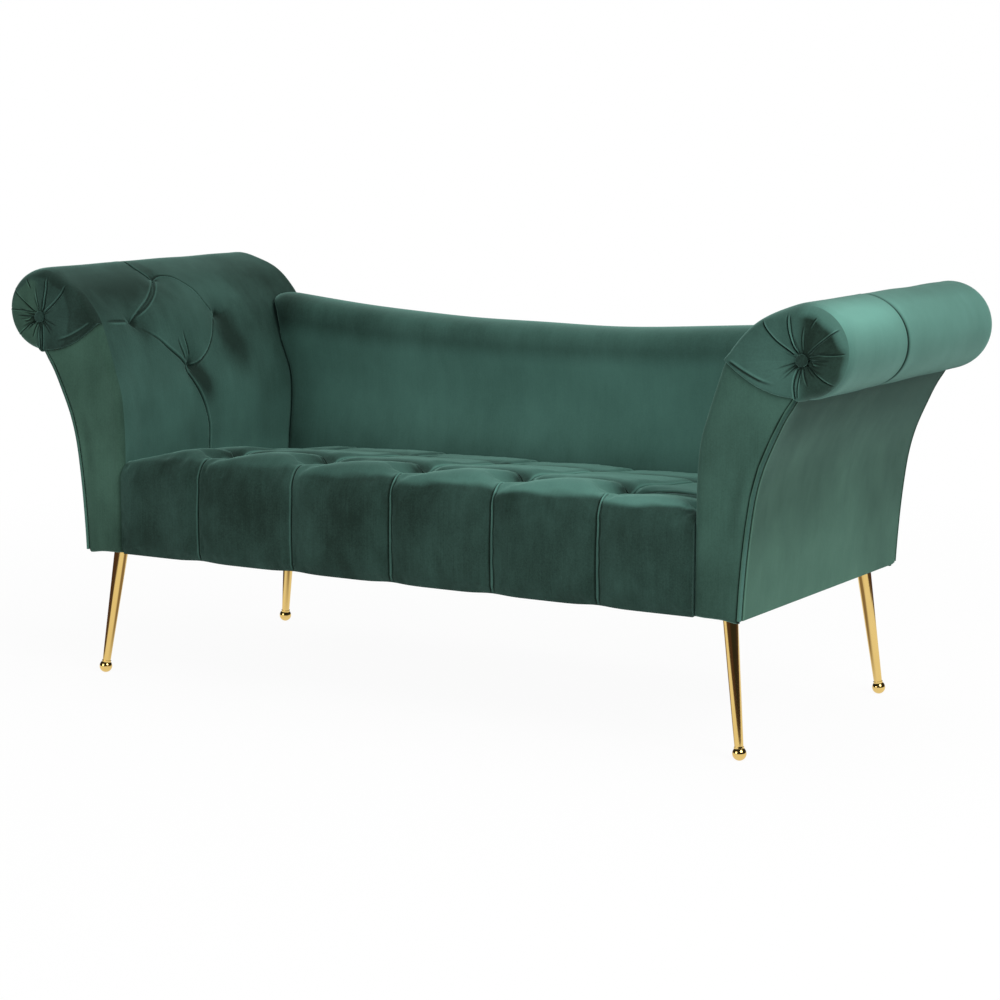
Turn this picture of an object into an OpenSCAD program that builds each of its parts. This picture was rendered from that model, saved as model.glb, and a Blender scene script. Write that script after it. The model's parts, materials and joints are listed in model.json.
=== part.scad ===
// Fainting couch: two scrolled arms, a low curved back, a tufted seat and splayed metal legs.
// Lengths are in millimetres. +X is the right arm, +Y is the back and Z is up from the floor.

/* [Body] */
// Length over the arms at the underside
body_length = 1300; // [1160:10:1600]
// Depth over the front and back facings
body_depth = 634; // [580:2:760]
// Floor to the underside of the upholstery
leg_height = 230; // [140:5:320]
// Underside to the front edge of the seat
seat_thickness = 176; // [160:2:210]
// Underside to the top of the arm rolls
arm_rise = 501; // [450:1:560]
// Underside to the lowest point of the crest of the back
back_rise = 395; // [340:1:430]
// Height that the crest gains between its middle and the arms
crest_gain = 36; // [0:1:50]
// Thickness of the back at its crest
back_thickness = 112; // [96:1:130]

/* [Arms] */
// Thickness of an arm at the underside
arm_base = 84; // [76:1:110]
// Diameter of an arm roll
roll_diameter = 150; // [130:1:166]
// Side of the body at the underside to the axis of the roll
roll_overhang = 95; // [80:1:110]
// Foam and velvet over the inside of an arm and round its roll
arm_pad = 24; // [18:1:28]
// Velvet and wadding over the outside of an arm
outer_pad = 7; // [4:0.5:9]
// Velvet and wadding over the front and back facings
facing_thickness = 12; // [8:1:16]
// How far the gathered scroll ends stand out from the boards
scroll_depth = 18; // [14:1:24]
// Number of pleats gathered into each scroll end
scroll_pleats = 11; // [7:1:15]
// How far the long pleat over a facing bows below a straight line
pleat_sag = 13; // [0:1:18]
// Diameter of the covered buttons in the scroll ends
button_diameter = 22; // [16:1:28]
// Height of the covered buttons
button_height = 9; // [6:0.5:12]
// Axis of a roll down to its buttons
button_drop = 12; // [0:1:18]

/* [Seat and tufting] */
// Number of channelled panels along the seat
seat_panels = 6; // [4:2:8]
// Width of the two panels beside the arms
end_panel = 172; // [140:1:200]
// Front of the seat to the front row of tufts
front_row = 112; // [100:1:140]
// Distance between the two rows of tufts
row_pitch = 270; // [220:2:290]
// Depth of a seat tuft below the seams
seat_tuft_depth = 9; // [4:1:14]
// Depth of an arm tuft
arm_tuft_depth = 14; // [6:1:18]
// Rise of a seat panel between its seams
panel_crown = 18; // [6:1:22]
// Fall of the seat's top towards the arms
seat_dome = 16; // [0:1:20]
// Fall of the seat's top from the front edge to the back
seat_fall = 33; // [0:1:40]
// Radius of the front edge of the seat
edge_radius = 38; // [26:1:44]
// Velvet and wadding over the front rail
apron_thickness = 17; // [12:1:22]
// Velvet and soft foam over the seat core
seat_pad = 61; // [52:1:64]

/* [Frame] */
// Thickness of the seat and back rails
rail_thickness = 22; // [18:1:28]
// Height of the seat rails
rail_height = 70; // [60:1:76]
// Thickness of the scroll boards
board_thickness = 18; // [15:1:22]
// Thickness of the curved board behind an arm's padding
liner_thickness = 5; // [3:0.5:6]
// Thickness of the outer side boards
side_board = 3; // [2:0.5:5]
// Height of the arms' bottom rails
arm_rail_height = 50; // [40:1:60]
// Number of zigzag springs
spring_count = 6; // [4:2:6]
// Thickness of the spring wire
spring_wire = 3.6; // [3:0.1:4.2]
// Diameter of the bolts that hold the arms
bolt_diameter = 8; // [6:1:10]

/* [Legs] */
// Diameter of a leg at its top
leg_top_diameter = 25; // [20:0.5:32]
// Diameter of a leg at its foot
leg_tip_diameter = 14.5; // [13:0.5:18]
// Wall of the leg tube
leg_wall = 1.5; // [1:0.1:2.2]
// Diameter of the ball foot
ball_diameter = 23; // [20:0.5:30]
// Side of the body to the leg's axis at the underside
leg_inset_x = 42; // [40:1:44]
// Front or back of the body to the leg's axis at the underside
leg_inset_y = 50; // [46:1:56]
// Sideways lean of a leg from underside to foot
leg_lean_x = 28; // [0:1:50]
// Lean of a leg to the front or back from underside to foot
leg_lean_y = 17; // [0:1:40]
// Width of the square leg plate
plate_size = 60; // [54:1:66]
// Thickness of the leg plate
plate_thickness = 3; // [2:0.5:4]
// Diameter of the leg screws
screw_diameter = 5; // [4:0.5:6]

/* [Hidden] */
$fn = 64;

// Colours of the materials
velvet = "#3d6a5d";
timber = "#d9b98a";
plywood = "#c7a373";
foam = "#efe6c0";
black_cloth = "#2b2b2b";
steel = "#8f949a";
gold = "#c99a45";

// Clearances and small sizes shared by several pieces
gap = 0.3; // between pieces that don't touch
side_play = 1.5; // between the ends of the back and the arms
cut = 5; // how far a cutting shape runs past what it cuts
hem = 2; // velvet turned under the frame
cloth = 1; // spring cloth and dust cover
clip_sheet = 1.2; // steel of the spring clips

// Planes of the body
half_length = body_length / 2;
half_depth = body_depth / 2;
underside = leg_height;
frame_z = underside + hem;
inner_x = half_length - arm_base;
board_y = half_depth - facing_thickness;
board_inner_y = board_y - board_thickness;

// Planes of the seat, from the rails up
rail_front_y = -half_depth + apron_thickness;
rail_top = frame_z + rail_height;
cloth_z = rail_top + spring_wire + clip_sheet;
foam_z = cloth_z + cloth;
seat_z = underside + seat_thickness;
tuck_z = seat_z - seat_pad;
back_rail_y = board_y - rail_thickness;

// Axis and radius of the roll
roll_r = roll_diameter / 2;
roll_x = half_length + roll_overhang;
roll_z = underside + arm_rise - roll_r;
roll_wrap = 184; // degrees of the roll that the cover goes round past its top
wrap_steps = 9;
core_r = (roll_r - arm_pad + gap) * cos(roll_wrap / wrap_steps / 2) - gap;

// Inside outline of an arm, as shares of the run out to the roll's axis and of the arm's rise
inner_curve_shares = [
    [0, 0.399], [0.028, 0.545], [0.095, 0.635], [0.173, 0.722], [0.268, 0.814],
    [0.4, 0.882], [0.553, 0.934], [0.765, 0.976], [1, 1]
];
// Outside outline of an arm, as shares of its run and rise up to the underside of the roll
outer_curve_shares = [
    [0, 0], [0.045, 0.19], [0.114, 0.374], [0.216, 0.554], [0.364, 0.691], [0.602, 0.829],
    [0.784, 0.92], [1, 1]
];
curve_steps = 2; // outline points for each listed one

function mix(a, b, t) = a + (b - a) * t;
function unit(v) = v / norm(v);
function limit(t) = min(1, max(0, t));
function hollow(distance, width) = exp(-pow(distance / width, 2));
function reversed(points) = [for (i = [len(points) - 1:-1:0]) points[i]];

// Smooth curve through the points, with end tangents towards the two guide points
function spline_at(a, b, c, d, t) = b + (c - a) * t / 2
    + (a - b * 2.5 + c * 2 - d / 2) * t * t + (b * 1.5 - a / 2 - c * 1.5 + d / 2) * t * t * t;
function spline(points, before, after) = let (
        p = concat([before], points, [after]),
        last = len(points) - 1
    ) concat(
        [for (i = [0:last - 1], k = [0:curve_steps - 1])
            spline_at(p[i], p[i + 1], p[i + 2], p[i + 3], k / curve_steps)],
        [points[last]]
    );

// Outline moved sideways: to the left of its direction, by one distance
function side_of(points, i) = let (
        last = len(points) - 1,
        along = unit(points[min(i + 1, last)] - points[max(i - 1, 0)])
    ) [-along.y, along.x];
function moved(points, distance) = [
    for (i = [0:len(points) - 1]) points[i] + side_of(points, i) * distance
];

// Inside outline of the right arm in X and Z, from the level of the seat to the top of the roll
inner_run = roll_x - inner_x;
inner_points = [
    for (s = inner_curve_shares) [inner_x + inner_run * s.x, underside + arm_rise * s.y]
];
inner_last = len(inner_points) - 1;
inner_curve = spline(
    inner_points,
    [inner_x, 2 * inner_points[0].y - inner_points[1].y],
    [2 * roll_x - inner_points[inner_last - 1].x, inner_points[inner_last - 1].y]
);
function inner_at(z) = lookup(z, [for (p = inner_curve) [p.y, p.x]]);

// Outside outline of the right arm, from the underside to the roll
outer_top = [roll_x - outer_pad, roll_z - roll_r - gap];
outer_points = [
    for (s = outer_curve_shares)
        [mix(half_length, outer_top.x, s.x), mix(underside, outer_top.y, s.y)]
];
outer_last = len(outer_points) - 1;
outer_curve = spline(
    outer_points,
    [half_length, 2 * outer_points[0].y - outer_points[1].y],
    outer_points[outer_last] * 2 - outer_points[outer_last - 1]
);
// Below the underside line the hidden boards stop at the frame's bottom
function raised(points) = [for (p = points) [p.x, max(p.y, frame_z)]];

// Whole path of the arm cover: up the inside, over the top and round the roll
tuck_middle = [inner_x, (tuck_z + inner_points[0].y) / 2];
roll_arc = [
    for (k = [1:wrap_steps])
        let (a = 90 - roll_wrap * k / wrap_steps) [roll_x + roll_r * cos(a), roll_z + roll_r * sin(a)]
];
cover_path = concat([[inner_x, tuck_z], tuck_middle], inner_curve, roll_arc);
cover_rows = len(cover_path);
first_curve_row = 2;

// Tufts of an arm: the listed outline points that they lie at, and their places across the depth
tuft_column_share = -0.32;
tuft_spread_share = 0.4;
top_tuft = 6;
side_tuft = 4;
low_tuft = 2;
pleat_point = 4;
function arm_tuft(point, across_share) = let (p = inner_points[point])
    [p.x, across_share * board_y, p.y];
arm_tufts = [
    arm_tuft(top_tuft, tuft_column_share),
    arm_tuft(side_tuft, tuft_column_share - tuft_spread_share),
    arm_tuft(side_tuft, tuft_column_share + tuft_spread_share),
    arm_tuft(low_tuft, tuft_column_share)
];
arm_folds = [[0, 1], [0, 2], [1, 3], [2, 3]];
arm_column_shares = [
    1, 0.97, 0.9, 0.72, 0.5, 0.3, 0.15, 0.11, 0.08, 0.05, 0, -0.1, -0.2, -0.28, -0.32, -0.36,
    -0.44, -0.54, -0.64, -0.69, -0.72, -0.75, -0.8, -0.9, -0.97, -1
];
arm_pit = 22; // reach of a tuft's hollow
arm_fold = [4, 9]; // depth and reach of a fold between tufts
arm_seam = [3, 7]; // depth and reach of the seam from the seat up and over the roll
arm_crown = 4; // swell of the padding between the tufts
crown_reach = 95;
rim = [8, 28]; // rounding of the roll's ends: drop and width
rim_inside_share = 0.2; // of that drop along the inside of the arm
rim_rows = [first_curve_row + top_tuft * curve_steps, 4]; // where it grows to the full drop
function rim_drop(row) =
    rim[0] * mix(rim_inside_share, 1, limit((row - rim_rows[0]) / rim_rows[1]));

function to_segment(p, a, b) = let (t = limit((p - a) * (b - a) / ((b - a) * (b - a))))
    norm(p - mix(a, b, t));
function arm_swell(p, row) = let (
        centre = mix(arm_tufts[0], arm_tufts[3], 0.55),
        pits = [for (t = arm_tufts) hollow(norm(p - t), arm_pit)],
        folds = [for (f = arm_folds)
            hollow(to_segment(p, arm_tufts[f[0]], arm_tufts[f[1]]), arm_fold[1])],
        between = row > first_curve_row + low_tuft * curve_steps
            && row < first_curve_row + top_tuft * curve_steps,
        seam = between ? 0 : hollow(p.y - arm_tufts[0].y, arm_seam[1]),
        into_rim = limit((abs(p.y) - (board_y - rim[1])) / rim[1])
    ) arm_crown * hollow(norm(p - centre), crown_reach) - arm_tuft_depth * max(pits)
        - arm_fold[0] * max(folds) - arm_seam[0] * seam - rim_drop(row) * into_rim * into_rim;

// Closed skin: a grid of outer points, rows by columns, over a hidden grid with as many rows.
// Seen from outside, the columns run to the right when the rows run up.
function skin_faces(n, m, h) = let (
        a = n * m,
        e = (n - 1) * m,
        f = a + (n - 1) * h,
        match = [for (j = [0:m - 1]) floor(j * (h - 1) / (m - 1))]
    ) concat(
        [for (i = [0:n - 2], j = [0:m - 2]) let (o = i * m + j) each
            [[o, o + m + 1, o + 1], [o, o + m, o + m + 1]]],
        [for (i = [0:n - 2], q = [0:h - 2]) let (o = a + i * h + q) each
            [[o, o + 1, o + h + 1], [o, o + h + 1, o + h]]],
        [for (i = [0:n - 2]) let (o = i * m, q = a + i * h) each
            [[o + m, o, q], [o + m, q, q + h]]],
        [for (i = [0:n - 2]) let (o = i * m + m - 1, q = a + i * h + h - 1) each
            [[o, o + m, q + h], [o, q + h, q]]],
        [for (j = [0:m - 2]) let (q = match[j]) each [[j, j + 1, a + q], [e + j + 1, e + j, f + q]]],
        [for (j = [0:m - 2]) let (q = match[j]) if (match[j + 1] > q) each
            [[a + q, j + 1, a + q + 1], [e + j + 1, f + q, f + q + 1]]]
    );
module skin(outer, hidden) {
    polyhedron(
        concat([for (row = outer) each row], [for (row = hidden) each row]),
        skin_faces(len(outer), len(outer[0]), len(hidden[0])),
        convexity = 10
    );
}

// Draws the right arm's piece, or its mirror image for the left arm
module arm_side(left) {
    if (left)
        mirror([1, 0, 0]) children();
    else
        children();
}

// Extrudes an outline in X and Z along Y, from y_from to y_to
module across(outline, y_from, y_to) {
    translate([0, y_to, 0])
        rotate([90, 0, 0])
            linear_extrude(height = y_to - y_from)
                polygon(outline);
}
module box(low, high) {
    translate(low)
        cube(high - low);
}

// Seat frame
module seat_front_rail() {
    color(timber)
        box([-inner_x, rail_front_y, frame_z], [inner_x, rail_front_y + rail_thickness, rail_top]);
}
module seat_back_rail() {
    color(timber)
        box([-inner_x, back_rail_y, frame_z], [inner_x, board_y, rail_top]);
}

// Bolts through the seat's side rails into the arms' bottom rails
bolt_places_share = [-0.3, 0, 0.3];
bolt_grip = 48; // in the arm's bottom rail
bolt_length = rail_thickness + bolt_grip;
bolt_head = [0.85 * bolt_diameter, 0.6 * bolt_diameter]; // radius over the corners and height
bolt_z = frame_z + arm_rail_height / 2;
module at_bolts() {
    for (s = bolt_places_share)
        translate([inner_x - rail_thickness, s * body_depth, bolt_z])
            rotate([0, 90, 0])
                children();
}
module bolt_bores() {
    at_bolts()
        translate([0, 0, -cut])
            cylinder(h = bolt_length + cut + gap, r = bolt_diameter / 2 + gap);
}
module seat_side_rail(left) {
    color(timber)
        arm_side(left)
            difference() {
                box([inner_x - rail_thickness, rail_front_y + rail_thickness, frame_z],
                    [inner_x, back_rail_y, rail_top]);
                bolt_bores();
            }
}
module seat_middle_rail() {
    color(timber)
        box([-rail_thickness / 2, rail_front_y + rail_thickness, frame_z],
            [rail_thickness / 2, back_rail_y, rail_top - spring_sag]);
}
spring_sag = 28; // free depth under the springs
block_leg = 50; // legs of the triangular corner blocks
block_height = 44;
module corner_block(corner, towards) {
    translate([corner.x, corner.y, frame_z + (rail_height - block_height) / 2])
        linear_extrude(height = block_height)
            polygon([[0, 0], [block_leg * towards.x, 0], [0, block_leg * towards.y]]);
}
module seat_corner_blocks() {
    x = inner_x - rail_thickness;
    color(timber)
        for (side = [-1, 1]) {
            corner_block([side * x, rail_front_y + rail_thickness], [-side, 1]);
            corner_block([side * x, back_rail_y], [-side, -1]);
        }
}

// Zigzag springs from the front rail to the back rail, each cut as one flat ribbon of wire
spring_bars = 17;
spring_half_width = 24;
spring_ends = [rail_front_y + rail_thickness / 2, back_rail_y + rail_thickness / 2];
spring_pitch = (spring_ends[1] - spring_ends[0]) / (spring_bars - 1);
spring_turn_steps = 4;
function spring_edge(side) = concat(
        [[-spring_half_width, spring_ends[0] + side * spring_wire / 2]],
        [for (k = [0:spring_bars - 2], q = [0:spring_turn_steps]) let (
            turn = k % 2 == 0 ? 1 : -1,
            r = spring_pitch / 2 - side * turn * spring_wire / 2,
            a = 180 * q / spring_turn_steps - 90
        ) [turn * (spring_half_width + r * cos(a)),
            spring_ends[0] + (k + 0.5) * spring_pitch + r * sin(a)]],
        [[spring_half_width, spring_ends[1] + side * spring_wire / 2]]
    );
seam_pitch = 2 * (inner_x - end_panel) / (seat_panels - 2);
function spring_x(i) = (i - (spring_count - 1) / 2) * 2 * (inner_x - rail_thickness) / spring_count;
module seat_springs() {
    color(steel)
        for (i = [0:spring_count - 1])
            translate([spring_x(i), 0, rail_top])
                linear_extrude(height = spring_wire)
                    polygon(concat(spring_edge(1), reversed(spring_edge(-1))));
}
clip_width = 16;
module spring_clip() {
    reach = spring_wire / 2 + gap;
    difference() {
        box([-clip_width / 2, -reach - clip_sheet, 0],
            [clip_width / 2, reach + clip_sheet, spring_wire + clip_sheet]);
        box([-clip_width / 2 - cut, -reach, -cut], [clip_width / 2 + cut, reach, spring_wire]);
    }
}
module spring_clips() {
    color(steel)
        for (i = [0:spring_count - 1], y = spring_ends)
            translate([spring_x(i), y, rail_top])
                spring_clip();
}
module spring_cloth() {
    color(black_cloth)
        difference() {
            box([-inner_x + gap, rail_front_y + gap, cloth_z], [inner_x - gap, board_y - gap, foam_z]);
            for (side = [0, 1], x = [middle_post_x, post_x])
                mirror([side, 0, 0])
                    box([x - gap, back_rail_y - gap, cloth_z - cut],
                        [x + post_width + gap, board_y + cut, foam_z + cut]);
        }
}

// Seat padding
back_face_y = half_depth - back_thickness;
module seat_foam() {
    color(foam)
        box([-inner_x + gap, rail_front_y + gap, foam_z],
            [inner_x - gap, back_rail_y - gap, tuck_z - gap]);
}

// Seat cover: channels up the front, then panels drawn down at two rows of tufts
seat_edge = inner_x - gap;
seams = [for (k = [1:seat_panels - 1]) (k - seat_panels / 2) * seam_pitch];
panel_edges = concat([-seat_edge], seams, [seat_edge]);
panel_column_shares = [0, 0.06, 0.2, 0.5, 0.8, 0.94];
seat_columns = concat(
    [for (p = [0:seat_panels - 1], s = panel_column_shares) mix(panel_edges[p], panel_edges[p + 1], s)],
    [seat_edge]
);
seat_front_y = -half_depth + hem;
tuft_rows = [-half_depth + front_row, -half_depth + front_row + row_pitch];
back_swell_share = 1.08; // the back's padding swells by this at the seat
seat_play = 1.4; // between the seat and the back
seat_back_y = half_depth - back_swell_share * back_thickness - seat_play;
front_row_shares = [0, 0.12, 0.35, 0.65, 0.88];
edge_turns = [0, 25, 50, 70, 90];
fore_row_shares = [0.4, 0.75, 0.9];
between_row_shares = [0.07, 0.22, 0.5, 0.78, 0.93];
rear_row_shares = [0.09, 0.28, 0.6, 0.85];
turn_y = seat_front_y + edge_radius;
turn_z = seat_z - edge_radius;
function seat_top(y) = seat_z - seat_fall * limit((y - turn_y) / (seat_back_y - turn_y));
function top_row(from, to, share) = let (y = mix(from, to, share)) [y, seat_top(y), 90];
seat_rows = concat(
    [for (s = front_row_shares) [seat_front_y, mix(underside, turn_z, s), 0]],
    [for (a = edge_turns) [turn_y - edge_radius * cos(a), turn_z + edge_radius * sin(a), a]],
    [for (s = concat(fore_row_shares, 1)) top_row(turn_y, tuft_rows[0], s)],
    [for (s = concat(between_row_shares, 1)) top_row(tuft_rows[0], tuft_rows[1], s)],
    [for (s = concat(rear_row_shares, 1)) top_row(tuft_rows[1], seat_back_y, s)]
);
seam_reach = 22; // how far a seam draws the panels down on each side
row_reach = 28; // how far a row of tufts does
seam_cut_share = 0.75; // how much of a panel's crown they take away
row_cut_share = 0.8;
rear_crown_share = 0.4; // crown of the panels behind the rear row
front_crown = 7; // swell of a channel on the seat's front
front_cut_share = 0.45; // how much of it the seams take away
seat_pit = 20; // reach of a seat tuft's hollow
tuck_in = 14; // height over which the channels fade in above the underside
function from_seam(x) = min([for (s = panel_edges) abs(x - s)]);
function from_row(y) = min([for (r = tuft_rows) abs(y - r)]);
function seat_swell(x, row) = let (
        top = row[2] / 90,
        fade = limit((row[1] - underside) / tuck_in),
        seam = hollow(from_seam(x), seam_reach),
        crown = panel_crown * (row[0] > tuft_rows[1] ? rear_crown_share : 1)
            * (1 - seam_cut_share * seam) * (1 - row_cut_share * hollow(from_row(row[0]), row_reach)),
        channel = front_crown * (1 - front_cut_share * seam) * fade,
        dome = -seat_dome * pow(x / seat_edge, 6),
        pits = [for (s = seams, r = tuft_rows) hollow(norm([x - s, row[0] - r]), seat_pit)]
    ) (1 - top) * channel + top * (crown + dome - seat_tuft_depth * max(pits));
seat_grid = [
    for (row = seat_rows) [
        for (x = seat_columns) let (d = seat_swell(x, row))
            [x, row[0] - d * cos(row[2]), row[1] + d * sin(row[2])]
    ]
];
hidden_turn = len(front_row_shares) + 2;
hidden_last = len(seat_rows) - 1;
seat_hidden = [
    for (i = [0:hidden_last]) [
        for (x = [-seat_edge, seat_edge]) i <= hidden_turn
            ? [x, rail_front_y - gap, mix(underside, tuck_z, i / hidden_turn)]
            : [x, mix(rail_front_y - gap, seat_back_y, (i - hidden_turn) / (hidden_last - hidden_turn)),
                tuck_z]
    ]
];
module seat_cover() {
    color(velvet)
        skin(seat_grid, seat_hidden);
}

// Cloth under the frame, cut out round the leg plates
leg_x = half_length - leg_inset_x;
leg_y = half_depth - leg_inset_y;
plate_low = [leg_x - plate_size / 2, board_inner_y - plate_size];
plate_high = [leg_x + plate_size / 2, board_inner_y];
module at_corners() {
    for (side = [0, 1], end = [0, 1])
        mirror([side, 0, 0])
            mirror([0, end, 0])
                children();
}
dust_x = half_length - outer_pad - side_board - gap;
module dust_cover() {
    color(black_cloth)
        difference() {
            box([-dust_x, rail_front_y, frame_z - cloth], [dust_x, board_y - gap, frame_z]);
            at_corners()
                box([plate_low.x - gap, plate_low.y - gap, frame_z - cut],
                    [plate_high.x + gap, plate_high.y + gap, frame_z + cut]);
        }
}

// Back: frame, webbing, foam and covers between the arms
post_width = 45;
top_rail_height = 50;
top_pad = 24; // padding over the top rail
middle_post_share = 0.32;
back_low_z = tuck_z;
crest_z = underside + back_rise;
function crest_at(u) = crest_z + crest_gain * u * u;
function back_x(u, z) = u * (inner_at(z) - side_play);
top_rail_z = crest_z - top_pad - gap - top_rail_height;
post_x = inner_x - rail_thickness - post_width;
middle_post_x = middle_post_share * inner_x - post_width / 2;
module back_post(x) {
    box([x, back_rail_y, rail_top], [x + post_width, board_y, top_rail_z]);
}
module back_left_post() {
    color(timber)
        back_post(-post_x - post_width);
}
module back_right_post() {
    color(timber)
        back_post(post_x);
}
module back_middle_posts() {
    color(timber)
        for (x = [-middle_post_x - post_width, middle_post_x])
            back_post(x);
}
crest_steps = 8;
crest_places = [for (k = [-crest_steps:crest_steps]) k / crest_steps];
// Board between the arms with its top edge a given depth under the crest
function under_crest(bottom, depth, reach) = concat(
        [for (u = [reach, -reach]) [back_x(u, bottom), bottom]],
        [for (k = crest_places) let (u = k * reach, z = crest_at(u) - depth) [back_x(u, z), z]]
    );
top_rail_reach_share = 0.96;
module back_top_rail() {
    color(timber)
        across(under_crest(top_rail_z, top_pad + gap, top_rail_reach_share), back_rail_y, board_y);
}
strap = [2, 50]; // thickness and width of the webbing
strap_shares = [0.3, 0.56, 0.82];
module back_webbing() {
    color(black_cloth)
        for (s = strap_shares) {
            z = mix(rail_top, top_rail_z, s);
            box([-post_x - post_width, back_rail_y - strap[0], z - strap[1] / 2],
                [post_x + post_width, back_rail_y, z + strap[1] / 2]);
        }
}
back_shell = 41; // padding in front of the back's foam
back_foam_y = back_face_y + back_shell + gap;
back_foam_reach_share = 0.97;
module back_foam() {
    color(foam)
        across(under_crest(tuck_z + gap, 2 * top_pad + gap, back_foam_reach_share),
            back_foam_y, back_rail_y - strap[0] - gap);
}

// Section of the back cover, as shares of the back's thickness from the rear and of its height
back_section_shares = [
    [back_swell_share, 0], [1.02, 0.15], [0.93, 0.35], [0.9, 0.5], [0.93, 0.65], [0.99, 0.8], [1.01, 0.88],
    [0.97, 0.94], [0.88, 0.975], [0.72, 0.995], [0.46, 1], [0.2, 0.985], [0.045, 0.95], [0, 0.9]
];
rear_edge = back_section_shares[len(back_section_shares) - 1];
function back_point(u, y, z) = [back_x(u, z), y, z];
back_outer = [
    for (s = back_section_shares) [
        for (u = crest_places)
            back_point(u, half_depth - s.x * back_thickness, mix(back_low_z, crest_at(u), s.y))
    ]
];
// Hidden side: up the foam, then over the top rail, as shares of the way back and of the padding
back_front_rows = 6;
over_rail_shares = [[0, 2], [0.02, 1.5], [0.1, 1.15], [0.25, 1], [0.5, 1], [0.75, 1], [1, 1]];
back_hidden = concat(
    [for (i = [0:back_front_rows - 1]) [
        for (u = crest_places)
            back_point(u, back_face_y + back_shell,
                mix(back_low_z, crest_at(u), back_section_shares[i].y))
    ]],
    [for (s = over_rail_shares) [
        for (u = crest_places)
            back_point(u, mix(back_face_y + back_shell, board_y + gap, s.x), crest_at(u) - s.y * top_pad)
    ]],
    [[for (u = crest_places) back_point(u, board_y + gap, mix(back_low_z, crest_at(u), rear_edge.y))]]
);
module back_cover() {
    color(velvet)
        skin(back_outer, back_hidden);
}
module back_outer_cover() {
    top = [
        for (u = crest_places) let (z = mix(back_low_z, crest_at(u), rear_edge.y) - gap) [back_x(u, z), z]
    ];
    right = concat(
        [[inner_x - side_play, underside]],
        [for (p = inner_curve) if (p.y < top[0].y - gap) [p.x - side_play, p.y]]
    );
    left = [for (p = right) [-p.x, p.y]];
    color(velvet)
        across(concat(right, reversed(top), reversed(left)), board_y + gap, half_depth);
}

// Arm frame
liner_line = moved(inner_curve, -arm_pad);
board_line = moved(inner_curve, -arm_pad - liner_thickness);
liner_end = 13; // last outline point that the liner and the boards follow
side_line = moved(outer_curve, outer_pad);
frame_side_line = moved(outer_curve, outer_pad + side_board);
board_bottom_x = inner_x + arm_pad + liner_thickness;
board_outline = concat(
    [[board_bottom_x, frame_z], [board_bottom_x, tuck_z]],
    [for (i = [0:liner_end]) board_line[i]],
    [[roll_x, roll_z + core_r / 2], [roll_x, roll_z - core_r / 2]],
    reversed(raised(frame_side_line))
);
module scroll_board() {
    across(board_outline, board_inner_y, board_y);
    translate([roll_x, board_y, roll_z])
        rotate([90, 0, 0])
            cylinder(h = board_thickness, r = core_r);
}
module arm_front_board(left) {
    color(plywood)
        arm_side(left)
            mirror([0, 1, 0])
                scroll_board();
}
module arm_back_board(left) {
    color(plywood)
        arm_side(left)
            scroll_board();
}
screw_depth = 32; // of a leg screw in the rail
screw_inset = 8;
screw_places = [
    for (x = [plate_low.x + screw_inset, plate_high.x - screw_inset],
        y = [plate_low.y + screw_inset, plate_high.y - screw_inset]) [x, y]
];
module at_screws() {
    for (p = screw_places)
        translate([p.x, p.y, frame_z])
            children();
}
module arm_bottom_rail(left) {
    color(timber)
        arm_side(left)
            difference() {
                box([inner_x, -board_inner_y, frame_z],
                    [dust_x + gap, board_inner_y, frame_z + arm_rail_height]);
                bolt_bores();
                for (end = [0, 1])
                    mirror([0, end, 0])
                        at_screws()
                            translate([0, 0, -cut])
                                cylinder(h = screw_depth + cut + gap, r = screw_diameter / 2 + gap);
            }
}
low_batten_height = 45;
high_batten_width = 28;
batten_in = 20; // from the liner to the high batten's near top edge
batten_up = 15;
module arm_battens(left) {
    low = [board_line[low_tuft * curve_steps].x, board_line[curve_steps].y - low_batten_height / 2];
    high = board_line[side_tuft * curve_steps] + [batten_in, batten_up - rail_thickness];
    color(timber)
        arm_side(left) {
            box([low.x, -board_inner_y, low.y],
                [low.x + rail_thickness, board_inner_y, low.y + low_batten_height]);
            box([high.x, -board_inner_y, high.y],
                [high.x + high_batten_width, board_inner_y, high.y + rail_thickness]);
        }
}
core_wall = 6; // cardboard tube inside the roll
module arm_roll_core(left) {
    color(plywood)
        arm_side(left)
            translate([roll_x, board_inner_y, roll_z])
                rotate([90, 0, 0])
                    difference() {
                        cylinder(h = 2 * board_inner_y, r = core_r);
                        translate([0, 0, -cut])
                            cylinder(h = 2 * board_inner_y + 2 * cut, r = core_r - core_wall);
                    }
}
module arm_liner(left) {
    outline = concat(
        [[inner_x + arm_pad, tuck_z]], [for (i = [0:liner_end]) liner_line[i]],
        [for (i = [liner_end:-1:0]) board_line[i]], [[board_bottom_x, tuck_z]]
    );
    color(plywood)
        arm_side(left)
            across(outline, -board_y + gap, board_y - gap);
}

// Arm padding
arm_grid = [
    for (i = [0:cover_rows - 1]) let (base = cover_path[i], out = side_of(cover_path, i)) [
        for (s = arm_column_shares) let (
            y = s * board_y,
            d = arm_swell([base.x, y, base.y], i)
        ) [base.x + out.x * d, y, base.y + out.y * d]
    ]
];
arm_hidden = [for (p = moved(cover_path, gap - arm_pad)) [for (y = [board_y, -board_y]) [p.x, y, p.y]]];
module arm_cover(left) {
    color(velvet)
        arm_side(left)
            skin(arm_grid, arm_hidden);
}
module arm_side_board(left) {
    color(plywood)
        arm_side(left)
            across(concat(raised(side_line), reversed(raised(frame_side_line))),
                -board_y + gap, board_y - gap);
}
module arm_outer_cover(left) {
    color(velvet)
        arm_side(left)
            across(concat(outer_curve, reversed(side_line)), -half_depth, half_depth);
}

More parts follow.
